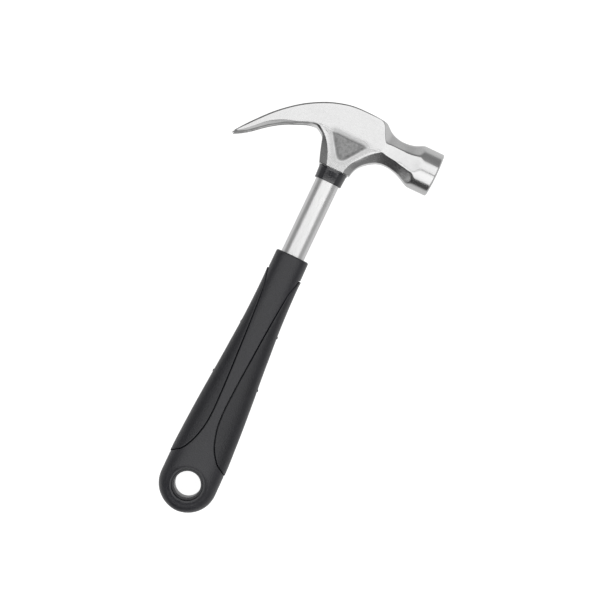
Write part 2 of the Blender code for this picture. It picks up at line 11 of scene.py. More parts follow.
import bmesh
import bpy
import numpy as np
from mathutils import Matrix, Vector


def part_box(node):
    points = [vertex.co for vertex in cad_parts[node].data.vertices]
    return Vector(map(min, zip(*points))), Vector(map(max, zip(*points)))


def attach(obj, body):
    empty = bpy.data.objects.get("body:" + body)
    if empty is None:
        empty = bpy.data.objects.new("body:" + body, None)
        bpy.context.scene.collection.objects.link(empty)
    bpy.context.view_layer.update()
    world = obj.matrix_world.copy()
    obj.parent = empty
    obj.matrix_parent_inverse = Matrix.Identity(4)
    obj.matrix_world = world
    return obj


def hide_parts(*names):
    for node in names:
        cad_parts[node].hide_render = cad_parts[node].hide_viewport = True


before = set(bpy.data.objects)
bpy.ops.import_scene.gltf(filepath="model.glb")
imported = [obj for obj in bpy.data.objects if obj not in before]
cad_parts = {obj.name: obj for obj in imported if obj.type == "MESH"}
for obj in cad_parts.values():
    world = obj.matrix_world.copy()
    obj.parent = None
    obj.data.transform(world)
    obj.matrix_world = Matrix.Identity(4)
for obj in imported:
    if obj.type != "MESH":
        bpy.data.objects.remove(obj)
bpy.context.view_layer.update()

MM = 0.001
GAP = 0.3  # clearance between neighbouring pieces
TINY = 0.001  # points closer than this are one point
SHARP_ANGLE = math.radians(40.0)

tube_low, tube_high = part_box("handle_tube")
ring_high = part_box("collar_ring")[1]
ORIGIN = Vector(((tube_low.x + tube_high.x) / 2, ring_high.y + GAP * MM,
                 (tube_low.z + tube_high.z) / 2))

# --- head: bell, neck and striking face ---
BELL_RADIUS = 14.65
BELL_AXIS_Y = 24.8
FACE_X = 62.0  # striking face
FACE_CHAMFER = 1.8
# bell's rim: how far behind the face's middle, and how far in
RIM_PROFILE = [(1.75, 0.0), (1.55, 0.05), (1.25, 0.22), (0.98, 0.5), (0.82, 0.8), (0.74, 1.15)]
FACE_RINGS = (0.96, 0.9, 0.8, 0.66, 0.5, 0.34, 0.17)
WAIST_X = 31.5  # thinnest octagonal section of the neck
WAIST_APOTHEM = 9.45
WAIST_AXIS_Y = 25.72
FLARE_START_X = 30.0  # the neck swells into the bell on an arc from here
FLARE_RADIUS = 30.5
SIDE_APOTHEM = 10.3  # the neck is thicker than it is tall, up to the bell
SIDE_FLARE_START_X = 33.0
SIDE_FLARE_RADIUS = 34.0
NECK_AXIS_END_X = 42.0  # where the neck's axis joins the bell's
OCTAGON_CORNERS = (22.5, 67.5, 112.5, 157.5)
HALF_FACET = math.radians(22.5)
EDGE_ROUNDING = 0.30  # softness of the edges between the neck's facets
CAGE_RINGS_X = (33.5, 35.5, 37.5)  # rings that lead the neck on past the waist
BELL_SEAM_X = 34.2  # from here on the neck and bell are drawn by formula
BELL_STEP = 0.7  # between its rings
BELL_BLEND = 4.0  # their shape takes this far to settle, and their spacing BELL_EVEN
BELL_EVEN = 10.0
RIM_GAP = 0.4  # the last one is this far behind the face's chamfer
FLARE_REACH = 22.0
FACE_DOME = 0.0040  # the striking face is crowned: drop per square of the radius

# --- head: ridge lines, one point for each key station after the waist, as far as the claw tip ---
HEAD_HALF = 12.4  # half the thickness across the flat cheeks
EDGE_HALF = HEAD_HALF - 0.8  # the cheeks' long edges are bevelled down to here
TOP_EDGE = [(27.0, 36.3, 4.0), (23.2, 38.2, 4.3), (19.5, 41.1, 7.8), (16.3, 41.7, EDGE_HALF),
            (6.0, 42.3, EDGE_HALF), (-6.9, 41.7, EDGE_HALF), (-19.8, 38.1, EDGE_HALF),
            (-29.5, 33.4, 11.5), (-36.6, 29.0, 11.4), (-44.0, 23.2, 11.3), (-52.3, 15.4, 11.2),
            (-61.9, 4.2, 11.0), (-68.8, -4.8, 10.6)]
# the cheek's two side lines in side view, and how far out both are
SIDE_UPPER = [(27.0, 29.6), (23.2, 29.5), (19.6, 35.6), (16.2, 40.9), (6.0, 41.4), (-6.6, 40.8),
              (-19.2, 37.2), (-28.9, 32.5), (-35.9, 28.1), (-43.2, 22.5), (-51.4, 14.7),
              (-60.9, 3.7), (-68.1, -5.0)]
SIDE_LOWER = [(27.0, 22.2), (23.2, 23.0), (19.5, 22.1), (15.0, 21.1), (5.0, 20.5), (-6.5, 20.6),
              (-20.5, 21.8), (-27.5, 20.3), (-33.8, 17.6), (-42.1, 14.9), (-51.7, 9.4),
              (-61.4, -0.1), (-69.3, -5.9)]
SIDE_HALVES = [10.9] + [HEAD_HALF] * 6 + [12.3, 12.2, 12.1, 12.0, 11.8, 11.2]
NECK_UNDER = [(27.0, 16.3, 5.0), (23.0, 15.2, 6.1)]
CLAW_UNDER = [(-21.6, 20.4, 10.6), (-28.0, 19.5, 11.0), (-34.2, 16.8, 10.7), (-42.1, 13.0, 9.2),
              (-51.1, 6.9, 8.0), (-61.0, -1.6, 7.8), (-69.8, -7.0, 8.6)]
FRONT_KEY = 2  # key station where the cheek meets the neck
REAR_KEY = 7  # key station where the claw leaves the eye
NOTCH_KEY = 9  # key station of the notch's root
STATION_STEPS = [2, 2, 2, 2, 3, 3, 4, 3, 3, 3, 3, 3, 3]
NOTCH_ROOT_HALF = 1.3
NOTCH_TIP_HALF = 4.4

# --- head: the eye neck that runs down to the collar ---
# its edges start at the side lines, its faces at the lines under the neck and the claw
EYE_FRONT_EDGE = [SIDE_LOWER[FRONT_KEY - 1], (17.6, 18.8), (11.8, 12.6), (7.5, 6.3), (6.3, 0.0)]
EYE_REAR_EDGE = [SIDE_LOWER[REAR_KEY - 1], (-14.7, 17.3), (-10.6, 12.4), (-7.1, 6.3), (-5.1, 0.0)]
EYE_EDGE_HALVES = [HEAD_HALF, 12.1, 11.75, 11.4, 11.1]
EYE_FRONT_FACE = [NECK_UNDER[-1], (19.0, 12.8, 7.5), (14.9, 9.2, 8.4), (12.2, 4.9, 7.7),
                  (11.1, 0.0, 7.0)]
EYE_REAR_FACE = [CLAW_UNDER[0], (-16.5, 16.9, 10.3), (-14.6, 11.9, 8.4), (-12.6, 5.7, 7.9),
                 (-10.5, 0.0, 7.4)]
EYE_ROW_STEPS = [3, 3, 2, 2]
FRONT_FACET_BULGE = 0.25  # the slanted facet in front is rounded outwards
BULGE_ROWS = 3.0  # the bulge grows over this many rows from the cheek down
RIB_TOP_Z = 12.0  # the eye neck's side face, just under the cheek and at the collar
RIB_BOTTOM_Z = 11.1
RIB_TOP_Y = 20.4
RECESS_DEPTH = 1.1  # three-sided hollow in each side of the eye neck
RECESS_OUTLINE = [(-15.9, 26.5), (18.6, 26.5), (3.4, 5.2), (-1.3, 5.2)]
RECESS_ROUNDING = 1.0
RECESS_WALL = 3.6
SEAM_Y = 21.0  # the cheek's lower edge over the hollow
SIDE_Z = (9.0, 10.0)  # the head's sides are what lies further out than this
EYE_REACH_X = 26.0  # the eye neck and its hollow lie between this and its negative
ROLL_START = 3.7  # the cheek rolls down into the hollow from this far above its edge
ROLL_RADIUS = 6.4
ROLL_ENDS = 4.2  # the roll dies out over this much of its ends
SEAM_DEPTH = 0.24  # shallow valley that carries the edge on to both sides
SEAM_WIDTH = 0.55
SEAM_REAR_X = (-22.0, -16.0)  # the valley fades in and out along these stretches
SEAM_FRONT_X = (24.0, 18.0)
# painted shade along the shallow valley at the cheek's lower edge
SEAM_PAINTED_SHADE = 0.45
SKIN_EDGE = (-0.5, 2.1)  # how far inside the hollow's outline rough skin starts and is full
FADE_POWER = 1.7
FADE_TOP_Y = 26.2  # painted shade: the cheek is darkened from here down to the hollow
FADE_MARGIN = -3.0  # and from this far outside the hollow's ends
SKIRT = 0.26  # duller metal on the ribs beside the hollow
SKIRT_WIDTH = 2.4
SKIRT_Y = (1.0, 6.0)
SKIRT_TOP = -0.5  # it starts this far below the cheek
CROWN_PAINTED_SHADE = 0.95  # painted shade: dark line painted where the claw's cheek meets its top
CROWN_FADE_X = (4.0, -10.0)
CROWN_FACING = 0.2
CROWN_ABOVE = 2.0  # the line is at least this far above the cheek's lower edge
BEVEL_OUTER = (0.97, 0.87)  # the bevel faces less sideways than the cheek
BEVEL_INNER = (0.15, 0.35)  # and more than the top
UNDER_LINE = 0.7  # painted shade: dark line painted along the claw's lower edge
UNDER_FADE_X = (-23.0, -29.0)
# strength of the painted shade on the claw's lower line and the tips' spot
LINE_PAINTED_SHADE = 0.9
TIP_SPOT = (-67.3, -5.4)  # painted shade: dark spot painted at the tines' tips
TIP_SPOT_EDGE = (1.5, 0.9)  # radii where it is gone and where it is full
CLAW_X = (-42.0, -69.0)  # root and tip of the notch
# painted shade in the notch between the tines
NOTCH_PAINTED_SHADE = 0.95
NOTCH_START_X = -41.0
NOTCH_MARGIN = 0.15  # its walls are looked for this far beyond their place
NOTCH_FACING = 0.6  # they face at least this much sideways
LINE_MARGIN = 0.05  # the claw's lower line stops this far from them
TIP_CUT_START = (-68.1, -4.2)  # each tine's corner is ground off beyond this line at its tip
TIP_CUT_NORMAL = (-0.342, -0.94)
TIP_CUT_SLOPE = 0.8  # depth for each millimetre beyond the line
TIP_CUT_X = -60.0
TIP_CUT_Z = (6.0, 9.0)  # it starts and is full this far out
EYE_RADIUS = 8.3
EYE_CROWN_RADIUS = 9.0  # the eye is flared at the crown
EYE_FLARE_DEPTH = 1.6
CROWN_Y = 42.3

# --- colours ---
COOLNESS = 0.7  # how much bluer than grey the blacks are
STEEL_GREYS = (0.59, 0.68)
STEEL_ROUGHNESS = (0.13, 0.19)
SKIN_GREYS = (0.21, 0.38)  # the forging's unpolished skin
SKIN_ROUGHNESS = 0.62

# --- tube, plug and collar ---
TUBE_RADIUS = 8.0
TUBE_BORE = 6.5
TUBE_TOP_Y = 41.0
TUBE_SPREAD = 0.35  # the tube is this much wider at its top, from TUBE_SPREAD_Y on
TUBE_SPREAD_Y = 38.5
TUBE_BOTTOM_Y = -205.0
TOP_PLUG_TOP_Y = 40.2
ROUND_SEGMENTS = 96
CORNER_STEPS = 4
CUTTER_REACH = 30.0  # how far the cutters reach beyond the pieces they cut

# --- grip ---
GRIP_TOP_Y = -62.0
GRIP_TILT = math.radians(0.76)  # the grip leans towards the striking face
GRIP_TOP_OFFSET_X = 0.2
BUTT_RADIUS = 19.3
BUTT_CENTRE_Y = -224.3
BUTT_THICKNESS_POWER = 0.55
# y, half-width and half-thickness of the grip's core
GRIP_SECTIONS = [(-63.4, 11.3, 11.3), (-74.0, 11.4, 11.4), (-92.0, 11.7, 11.4), (-104.0, 12.1, 11.5),
                 (-116.0, 12.75, 11.7), (-128.0, 13.65, 12.0), (-140.0, 14.55, 12.4),
                 (-158.0, 16.05, 12.9), (-176.0, 17.45, 13.4), (-194.0, 18.55, 13.7),
                 (-206.0, 19.15, 13.7), (-224.3, 19.3, 13.3)]
# rounding of the top rim: depth and how far in
GRIP_MOUTH = [(0.0, 1.1), (0.08, 0.75), (0.25, 0.42), (0.5, 0.2), (0.85, 0.05), (1.2, 0.0)]
BORE_MOUTH = [(0.6, 0.0), (0.2, 0.15), (0.0, 0.5)]  # depth and how much wider the bore is there
GRIP_SQUARENESS = 2.3  # exponent of the section's superellipse
BUTT_RINGS = 40
BUTT_CROWDING = 1.5  # how much closer together they are at its end
ROW_STEP = 1.0
BUTT_STEP = 0.5
NUB_STEP = 0.18
CORE_BLIND_Y = -207.1
HANG_HOLE_Y = -224.7
HANG_HOLE_RADIUS = 8.7
HANG_RECESS_RADIUS = 10.3
HANG_RECESS_FLOOR = 9.0
HANG_LIP = 0.6  # rounded lip raised round the recess
HANG_LIP_RADIUS = 11.3
HANG_LIP_WIDTH = 0.9
PAD_SIDES = (1, -1)  # front and rear
PAD_TOP_Y = -75.0
PAD_BOTTOM_Y = -210.6
PAD_PROUD = 0.35
PAD_LIP = 0.45  # the pads' upper ends stand out further
PAD_LIP_LENGTH = 3.0
PAD_END_HALF = 2.5  # the pads' ends are at least this wide to either side
PAD_ROUNDING = 0.75
PAD_BASE = -1.5  # height of the pads' undersides
BED_DEPTH = 1.7
CORE_ROUNDING = 0.7
NUBS = [(1, -114.6, 1.0), (-1, -114.6, 0.5), (1, -151.0, 1.0), (-1, -151.0, 1.0)]
NUB_RADIUS = 0.95
NUB_HEIGHT = 0.5
# y, middle and half-width of the spine left between the two pads
SPINE = [(-75.0, 0.1, 10.9), (-86.0, 0.1, 8.6), (-102.0, 0.1, 7.1), (-118.0, 0.1, 5.9),
         (-134.0, 0.1, 4.9), (-150.0, 0.1, 3.95), (-166.0, 0.1, 3.3), (-174.0, 0.2, 3.2),
         (-182.0, 0.3, 3.7), (-189.0, 0.5, 5.1), (-197.0, 0.8, 7.8), (-204.8, 1.5, 12.7),
         (-210.6, 2.1, 19.6)]
EDGE_OFFSETS = [0.0, 0.06, 0.14, 0.25, 0.4, 0.6, 0.85, 1.2]
BED_OFFSETS = [0.0, 0.1, 0.5]
NUB_OFFSETS = [0.0, 0.2, 0.4, 0.6, 0.8, 1.0, 1.3]
END_OFFSETS = [-0.8, -0.55, -0.35, -0.2, -0.1, 0.0, 0.1, 0.3, 0.36, 0.44, 0.55, 0.7, 0.9, 1.1, 1.5]
FINE_SHARE = 0.3  # the fine offsets take up at most this much of a row's length
BED_COLUMNS = 8
SPINE_COLUMNS = 70
PAD_COLUMNS = 24
INNER_STRIDE = 5

# --- how the head's faces are divided, and how hard its edges are ---
SIDE_FRACTIONS = (0.0, 0.3, 0.56, 0.76, 0.9, 1.0)
PLAIN_FRACTIONS = (0.0, 0.5, 1.0)
SUBDIVISION = 3
RIDGE_CREASE = 0.46
SOFT_CREASE = 0.36
RIM_CREASE = 0.55


# --- curves ---
def cubic_segment(before, start, end, after, t):
    """Catmull-Rom curve between start and end, which the points before and after steer."""
    return 0.5 * ((2 * start) + (end - before) * t
                  + (2 * before - 5 * start + 4 * end - after) * t * t
                  + (3 * start - before - 3 * end + after) * t ** 3)


def smooth_line(points, steps):
    """Points along a smooth curve through the given ones, with steps[i] intervals in span i."""
    knots = [Vector(point) for point in points]
    knots = [2 * knots[0] - knots[1]] + knots + [2 * knots[-1] - knots[-2]]
    line = []
    for span, count in enumerate(steps):
        for step in range(count):
            line.append(cubic_segment(*knots[span:span + 4], step / count))
    line.append(knots[-2].copy())
    return line


def table_value(table, key, column):
    """Read a column of a table of (key, value, ...) rows on a smooth curve."""
    rows = sorted(table)
    if key <= rows[0][0]:
        return rows[0][column]
    if key >= rows[-1][0]:
        return rows[-1][column]
    last = len(rows) - 1
    span = next(i for i in range(last) if key <= rows[i + 1][0])
    t = (key - rows[span][0]) / (rows[span + 1][0] - rows[span][0])
    around = [rows[min(max(i, 0), last)][column] for i in range(span - 1, span + 3)]
    return cubic_segment(*around, t)


def smooth_min(values, softness):
    """Smallest of several arrays, with a rounded change from one to the next."""
    stack = np.array(values)
    low = stack.min(axis=0)
    return low - softness * np.log(np.exp((low - stack) / softness).sum(axis=0))


def smoothstep(value):
    """Rise from 0 to 1 as the value does."""
    t = np.clip(value, 0.0, 1.0)
    return t * t * (3.0 - 2.0 * t)


def ramp(value, start, end):
    """Rise from 0 where a value is start to 1 where it is end."""
    return smoothstep((value - start) / (end - start))


# --- meshes ---
def to_world(points):
    """Design points in millimetres as world points in metres."""
    return np.asarray(points, float) * MM + np.array(ORIGIN)


def vectors(items, key):
    """One vector of each item of a mesh, as an array."""
    flat = np.empty(len(items) * 3)
    items.foreach_get(key, flat)
    return flat.reshape(-1, 3)


def set_coordinates(mesh, points):
    """Move a mesh's points."""
    mesh.vertices.foreach_set("co", np.asarray(points, float).ravel())
    mesh.update()


def add_object(name, data):
    """Put a mesh, a light or a camera in the scene."""
    made = bpy.data.objects.new(name, data)
    bpy.context.scene.collection.objects.link(made)
    return made


def new_piece(name, bm):
    """Object with a bmesh's faces, still in design millimetres."""
    bmesh.ops.recalc_face_normals(bm, faces=bm.faces)
    mesh = bpy.data.meshes.new(name)
    bm.to_mesh(mesh)
    bm.free()
    return add_object(name, mesh)


def apply_modifiers(piece):
    """Replace a piece's mesh with the result of its modifiers."""
    graph = bpy.context.evaluated_depsgraph_get()
    result = bpy.data.meshes.new_from_object(piece.evaluated_get(graph))
    old = piece.data
    piece.modifiers.clear()
    piece.data = result
    result.name = old.name
    bpy.data.meshes.remove(old)


def cut_away(piece, cutter):
    """Cut a piece with another object, which then goes."""
    modifier = piece.modifiers.new("Cut", "BOOLEAN")
    modifier.operation = "DIFFERENCE"
    modifier.object = cutter
    modifier.solver = "EXACT"
    apply_modifiers(piece)
    bpy.data.objects.remove(cutter, do_unlink=True)


def finish_piece(piece, node, material):
    """Move a piece to its place in the world, hang it on the root body and hide its CAD node."""
    set_coordinates(piece.data, to_world(vectors(piece.data.vertices, "co")))
    piece.data.shade_smooth()
    piece.data.set_sharp_from_angle(angle=SHARP_ANGLE)
    piece.data.materials.clear()
    piece.data.materials.append(material)
    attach(piece, "root")
    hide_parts(node)


def add_patch(bm, grid):
    """Fill a grid of points with quads."""
    rows = [[bm.verts.new(point) for point in row] for row in grid]
    for upper, lower in zip(rows, rows[1:]):
        for j in range(len(upper) - 1):
            corners = [upper[j], upper[j + 1], lower[j + 1], lower[j]]
            if (corners[0].co - corners[3].co).length < TINY:
                corners.pop()
            bm.faces.new(corners)


def add_polygon(bm, points):
    """Fill a flat outline with one face."""
    bm.faces.new([bm.verts.new(point) for point in points])


def bridge(bm, first, second):
    """Faces between two loops, either of which may be a single point."""
    count = max(len(first), len(second))
    for i in range(count):
        j = (i + 1) % count
        corners = [first[i % len(first)], first[j % len(first)],
                   second[j % len(second)], second[i % len(second)]]
        unique = []
        for corner in corners:
            if corner not in unique:
                unique.append(corner)
        bm.faces.new(unique)


# --- head ---
def spread(start, end, fractions):
    """Points on the straight line between two ridge lines."""
    return [start.lerp(end, fraction) for fraction in fractions]


def across_lines(corners, side=None):
    """Points across several ridge lines; side is the number of the tall side face, if any."""
    points = [corners[0]]
    for number, (start, end) in enumerate(zip(corners, corners[1:])):
        fractions = SIDE_FRACTIONS if number == side else PLAIN_FRACTIONS
        points += spread(start, end, fractions)[1:]
    return points


def flare_apothem(x):
    """Distance from the neck's axis to its facets."""
    run = np.clip(x - FLARE_START_X, 0.0, FLARE_REACH)
    return WAIST_APOTHEM + FLARE_RADIUS - np.sqrt(FLARE_RADIUS ** 2 - run ** 2)


def side_stretch(x):
    """How much thicker than a regular octagon the neck is."""
    run = np.clip(x - SIDE_FLARE_START_X, 0.0, FLARE_REACH)
    side = SIDE_APOTHEM + SIDE_FLARE_RADIUS - np.sqrt(SIDE_FLARE_RADIUS ** 2 - run ** 2)
    return side / flare_apothem(x)


def neck_axis_y(x):
    """The neck's axis drops a little from the waist to the bell."""
    t = np.clip((x - WAIST_X) / (NECK_AXIS_END_X - WAIST_X), 0.0, 1.0)
    return WAIST_AXIS_Y + (BELL_AXIS_Y - WAIST_AXIS_Y) * t


def neck_corner(x, number):
    """One corner of the neck's octagonal section, counted from the top."""
    angle = math.radians(OCTAGON_CORNERS[number])
    radius = float(flare_apothem(x)) / math.cos(HALF_FACET)
    up = radius * math.sin(angle) * float(side_stretch(x))
    return Vector((x, float(neck_axis_y(x)) + radius * math.cos(angle), up))


def notch_half(station):
    """Half-width of the notch between the tines at a station."""
    root = sum(STATION_STEPS[:NOTCH_KEY])
    if station <= root:
        return 0.0
    t = (station - root) / (sum(STATION_STEPS) - root)
    return NOTCH_ROOT_HALF + (NOTCH_TIP_HALF - NOTCH_ROOT_HALF) * t


def raised(line, halves):
    """Points of a side view, each moved out to its own height."""
    return [(*point, half) for point, half in zip(line, halves)]


def inward(point, z):
    """The same place in side view, moved to another height."""
    return Vector((point.x, point.y, z))


def eye_side_z(y):
    """Height of the eye neck's side face, without its hollow."""
    return RIB_BOTTOM_Z + (RIB_TOP_Z - RIB_BOTTOM_Z) * min(y / RIB_TOP_Y, 1.0)


def eye_rows(lower_line):
    """Rows of points down the eye neck, and its four edges, from the cheek to the collar."""
    edges = [smooth_line(line, EYE_ROW_STEPS)
             for line in (raised(EYE_FRONT_EDGE, EYE_EDGE_HALVES), EYE_FRONT_FACE,
                          raised(EYE_REAR_EDGE, EYE_EDGE_HALVES), EYE_REAR_FACE)]
    front_edge, front_face, rear_edge, rear_face = edges
    last_row = len(front_edge) - 1
    last_column = len(lower_line) - 1
    rows = []
    for v in range(last_row + 1):
        down = v / last_row
        side = []
        for u, top in enumerate(lower_line):
            along = u / last_column
            bottom = front_edge[-1].lerp(rear_edge[-1], along)
            point = top.lerp(bottom, down) + front_edge[v].lerp(rear_edge[v], along)
            start = front_edge[0].lerp(rear_edge[0], along)
            point -= start.lerp(front_edge[-1].lerp(rear_edge[-1], along), down)
            if 0 < v and 0 < u < last_column:
                point.z = eye_side_z(point.y)
            side.append(point)
        front = across_lines([inward(front_face[v], 0.0), front_face[v], side[0]])
        front[-2].z += FRONT_FACET_BULGE * min(v / BULGE_ROWS, 1.0)
        rear = across_lines([side[-1], rear_face[v], inward(rear_face[v], 0.0)])
        rows.append(front + side[1:-1] + rear)
    return rows, [[row[2 * len(PLAIN_FRACTIONS) - 2] for row in rows], front_face,
                  [row[-2 * len(PLAIN_FRACTIONS) + 1] for row in rows], rear_face]


def head_cage():
    """Coarse cage of the half head above its middle plane, with its creased ridge lines."""
    bm = bmesh.new()
    neck_steps = STATION_STEPS[:FRONT_KEY]
    claw_steps = STATION_STEPS[REAR_KEY:]
    front = sum(neck_steps)
    rear = sum(STATION_STEPS[:REAR_KEY])
    root = sum(STATION_STEPS[:NOTCH_KEY])
    lead = [[neck_corner(x, number) for x in reversed(CAGE_RINGS_X)] for number in range(4)]
    waist = [neck_corner(WAIST_X, number) for number in range(4)]
    top_edge = smooth_line([waist[0]] + TOP_EDGE, STATION_STEPS)
    side_upper = smooth_line([waist[1]] + raised(SIDE_UPPER, SIDE_HALVES), STATION_STEPS)
    side_lower = smooth_line([waist[2]] + raised(SIDE_LOWER, SIDE_HALVES), STATION_STEPS)
    neck_under = smooth_line([waist[3]] + NECK_UNDER, neck_steps)
    claw_under = smooth_line(CLAW_UNDER, claw_steps)
    neck_lines = [lead[0] + top_edge[:front + 1], lead[1] + side_upper[:front + 1],
                  lead[2] + side_lower[:front + 1], lead[3] + neck_under]

    def neck_section(corners):
        top, upper, lower, under = corners
        return across_lines([inward(top, 0.0), top, upper, lower, under, inward(under, 0.0)], 2)

    add_patch(bm, [neck_section(corners) for corners in zip(*neck_lines)])
    add_patch(bm, [across_lines([inward(top_edge[i], notch_half(i)), top_edge[i],
                                 side_upper[i], side_lower[i]], 2)
                   for i in range(front, len(top_edge))])
    add_patch(bm, [across_lines([side_lower[rear + i], claw_under[i],
                                 inward(claw_under[i], notch_half(rear + i))])
                   for i in range(len(claw_under))])
    notch_top = [inward(top_edge[i], notch_half(i)) for i in range(root, len(top_edge))]
    notch_under = [inward(claw_under[i - rear], notch_half(i)) for i in range(root, len(top_edge))]
    add_patch(bm, [spread(*ends, PLAIN_FRACTIONS) for ends in zip(notch_top, notch_under)])
    tip_low = across_lines([notch_top[-1], top_edge[-1], side_upper[-1], side_lower[-1]], 2)
    tip_high = across_lines([notch_under[-1], claw_under[-1], side_lower[-1]])
    tip_loop = tip_low + tip_high[-2::-1] + spread(notch_under[-1], notch_top[-1],
                                                   PLAIN_FRACTIONS)[1:-1]
    add_polygon(bm, tip_loop)
    rows, eye_lines = eye_rows(side_lower[front:rear + 1])
    add_patch(bm, rows)
    add_polygon(bm, rows[-1])

    ridges = neck_lines + eye_lines + [notch_top, notch_under]
    soft = [top_edge[front:], side_upper[front:], side_lower[rear:], claw_under,
            spread(side_upper[front], side_lower[front], SIDE_FRACTIONS)]
    rims = [tip_loop + tip_loop[:1], rows[-1]]
    return bm, ((ridges, RIDGE_CREASE), (soft, SOFT_CREASE), (rims, RIM_CREASE))


def crease_lines(bm, creases):
    """Harden the cage's edges along the ridge lines."""
    layer = bm.edges.layers.float.new("crease_edge")
    found = {tuple(round(c, 2) for c in vert.co): vert for vert in bm.verts}
    for lines, crease in creases:
        for line in lines:
            verts = [found.get(tuple(round(c, 2) for c in point)) for point in line]
            for start, end in zip(verts, verts[1:]):
                edge = bm.edges.get((start, end)) if start and end and start is not end else None
                if edge:
                    edge[layer] = max(edge[layer], crease)


def recess_inside(x, y):
    """How far inside the hollow's outline a point of the side face is."""
    distances = []
    for start, end in zip(RECESS_OUTLINE, RECESS_OUTLINE[1:] + RECESS_OUTLINE[:1]):
        edge = np.array(end) - np.array(start)
        edge /= np.hypot(*edge)
        distances.append((x - start[0]) * edge[1] - (y - start[1]) * edge[0])
    return smooth_min(distances, RECESS_ROUNDING)


def line_y(table, x):
    """Where a ridge line runs in side view, at places along the hammer."""
    return np.interp(x, *zip(*sorted(point[:2] for point in table)))


def skin_and_painted_shade_mask(points, facing, above, on_side, seam):
    """How much unpolished forged skin shows at each point of the head, and how much painted shade along the
    seam, the crown's bevel, the notch, the claw's lower edge and tips, and on the cheek over the hollow.
    """
    x, y, z = points.T
    across = np.abs(facing[:, 2])
    inside = recess_inside(x, y)
    skin = ramp(inside, *SKIN_EDGE)
    skirt = SKIRT * np.exp(-(np.minimum(inside, 0.0) / SKIRT_WIDTH) ** 2) * ramp(y, *SKIRT_Y)
    # painted shade on the polished cheek, darkest where it rolls into the hollow
    cheek_painted_shade = np.clip((FADE_TOP_Y - y) / (FADE_TOP_Y - SEAM_Y), 0.0, 1.0) ** FADE_POWER
    cheek_painted_shade *= ramp(recess_inside(x, np.full_like(x, SEAM_Y)), FADE_MARGIN, ROLL_ENDS)
    hollow = np.where(above > 0.0, cheek_painted_shade, np.maximum(skin, skirt * (above < SKIRT_TOP))) * on_side
    # painted shade: the bevel between the claw's cheek and its top is darkened, picked by which way it
    # faces
    crown = ramp(across, *BEVEL_OUTER) * ramp(across, *BEVEL_INNER) * ramp(x, *CROWN_FADE_X)
    crown *= (facing[:, 1] > CROWN_FACING) * (above > CROWN_ABOVE)
    # painted shade: the notch's walls between the tines are darkened
    wall_z = np.interp(-x, np.negative(CLAW_X), (NOTCH_ROOT_HALF, NOTCH_TIP_HALF)) + NOTCH_MARGIN
    notch = (np.abs(z) < wall_z) * (x < NOTCH_START_X) * (across > NOTCH_FACING)
    # painted shade: dark line along the claw's lower edge
    lip = ramp(y - line_y(CLAW_UNDER, x), UNDER_LINE, UNDER_LINE / 2) * ramp(x, *UNDER_FADE_X)
    lip *= np.abs(z) > wall_z + LINE_MARGIN
    # painted shade: dark spot at the tines' tips
    tip_painted_shade = ramp(np.hypot(x - TIP_SPOT[0], y - TIP_SPOT[1]), *TIP_SPOT_EDGE)
    # the seam, the crown's bevel, the notch, the lower line and the tips get painted shade
    return np.maximum.reduce([hollow, SEAM_PAINTED_SHADE * seam * on_side, CROWN_PAINTED_SHADE * crown,
                              NOTCH_PAINTED_SHADE * notch, LINE_PAINTED_SHADE * lip, LINE_PAINTED_SHADE * tip_painted_shade])


def shape_cheeks(mesh):
    """Roll the cheeks down into the eye neck's hollows, and grind the tines' tips."""
    points = vectors(mesh.vertices, "co")
    x, y, z = points.T
    above = y - line_y(SIDE_LOWER, x)
    on_side = ramp(np.abs(z), *SIDE_Z) * (np.abs(x) < EYE_REACH_X)
    over = recess_inside(x, np.full_like(x, SEAM_Y))
    start = np.maximum(ROLL_START - np.maximum(above, 0.0), 0.0)
    roll = ROLL_RADIUS - np.sqrt(ROLL_RADIUS ** 2 - start ** 2)
    cheek_drop = roll * smoothstep(over / ROLL_ENDS)
    neck_drop = RECESS_DEPTH * smoothstep(recess_inside(x, y) / RECESS_WALL)
    drop = np.where(above > 0.0, cheek_drop, neck_drop)
    beside = ramp(x, *SEAM_REAR_X) * ramp(x, *SEAM_FRONT_X) * (1.0 - smoothstep(over / RECESS_WALL))
    seam = np.exp(-((above / SEAM_WIDTH) ** 2)) * beside
    drop += SEAM_DEPTH * seam
    beyond = (x - TIP_CUT_START[0]) * TIP_CUT_NORMAL[0] + (y - TIP_CUT_START[1]) * TIP_CUT_NORMAL[1]
    tip = TIP_CUT_SLOPE * np.maximum(beyond, 0.0) * (x < TIP_CUT_X) * ramp(np.abs(z), *TIP_CUT_Z)
    points[:, 2] = z - np.sign(z) * (drop * on_side + tip)
    set_coordinates(mesh, points)
    facing = vectors(mesh.vertex_normals, "vector")
    # the forged attribute holds the forged skin of the hollows and the painted shade of the mask
    forged = mesh.attributes.new("forged", "FLOAT", "POINT")
    mask = np.clip(skin_and_painted_shade_mask(points, facing, above, on_side, seam), 0.0, 1.0)
    forged.data.foreach_set("value", mask.astype(np.float32))


def bell_radius(x, angle):
    """Radius of the neck and bell at an angle from +Y, with softened edges."""
    apothem = flare_apothem(x)
    across, up = np.cos(angle), np.sin(angle) / side_stretch(x)
    facets = [apothem / np.maximum(across * math.cos(facet) + up * math.sin(facet), 0.2)
              for facet in np.radians(range(0, 360, 45))]
    return smooth_min(facets + [np.full_like(angle, BELL_RADIUS)], EDGE_ROUNDING)


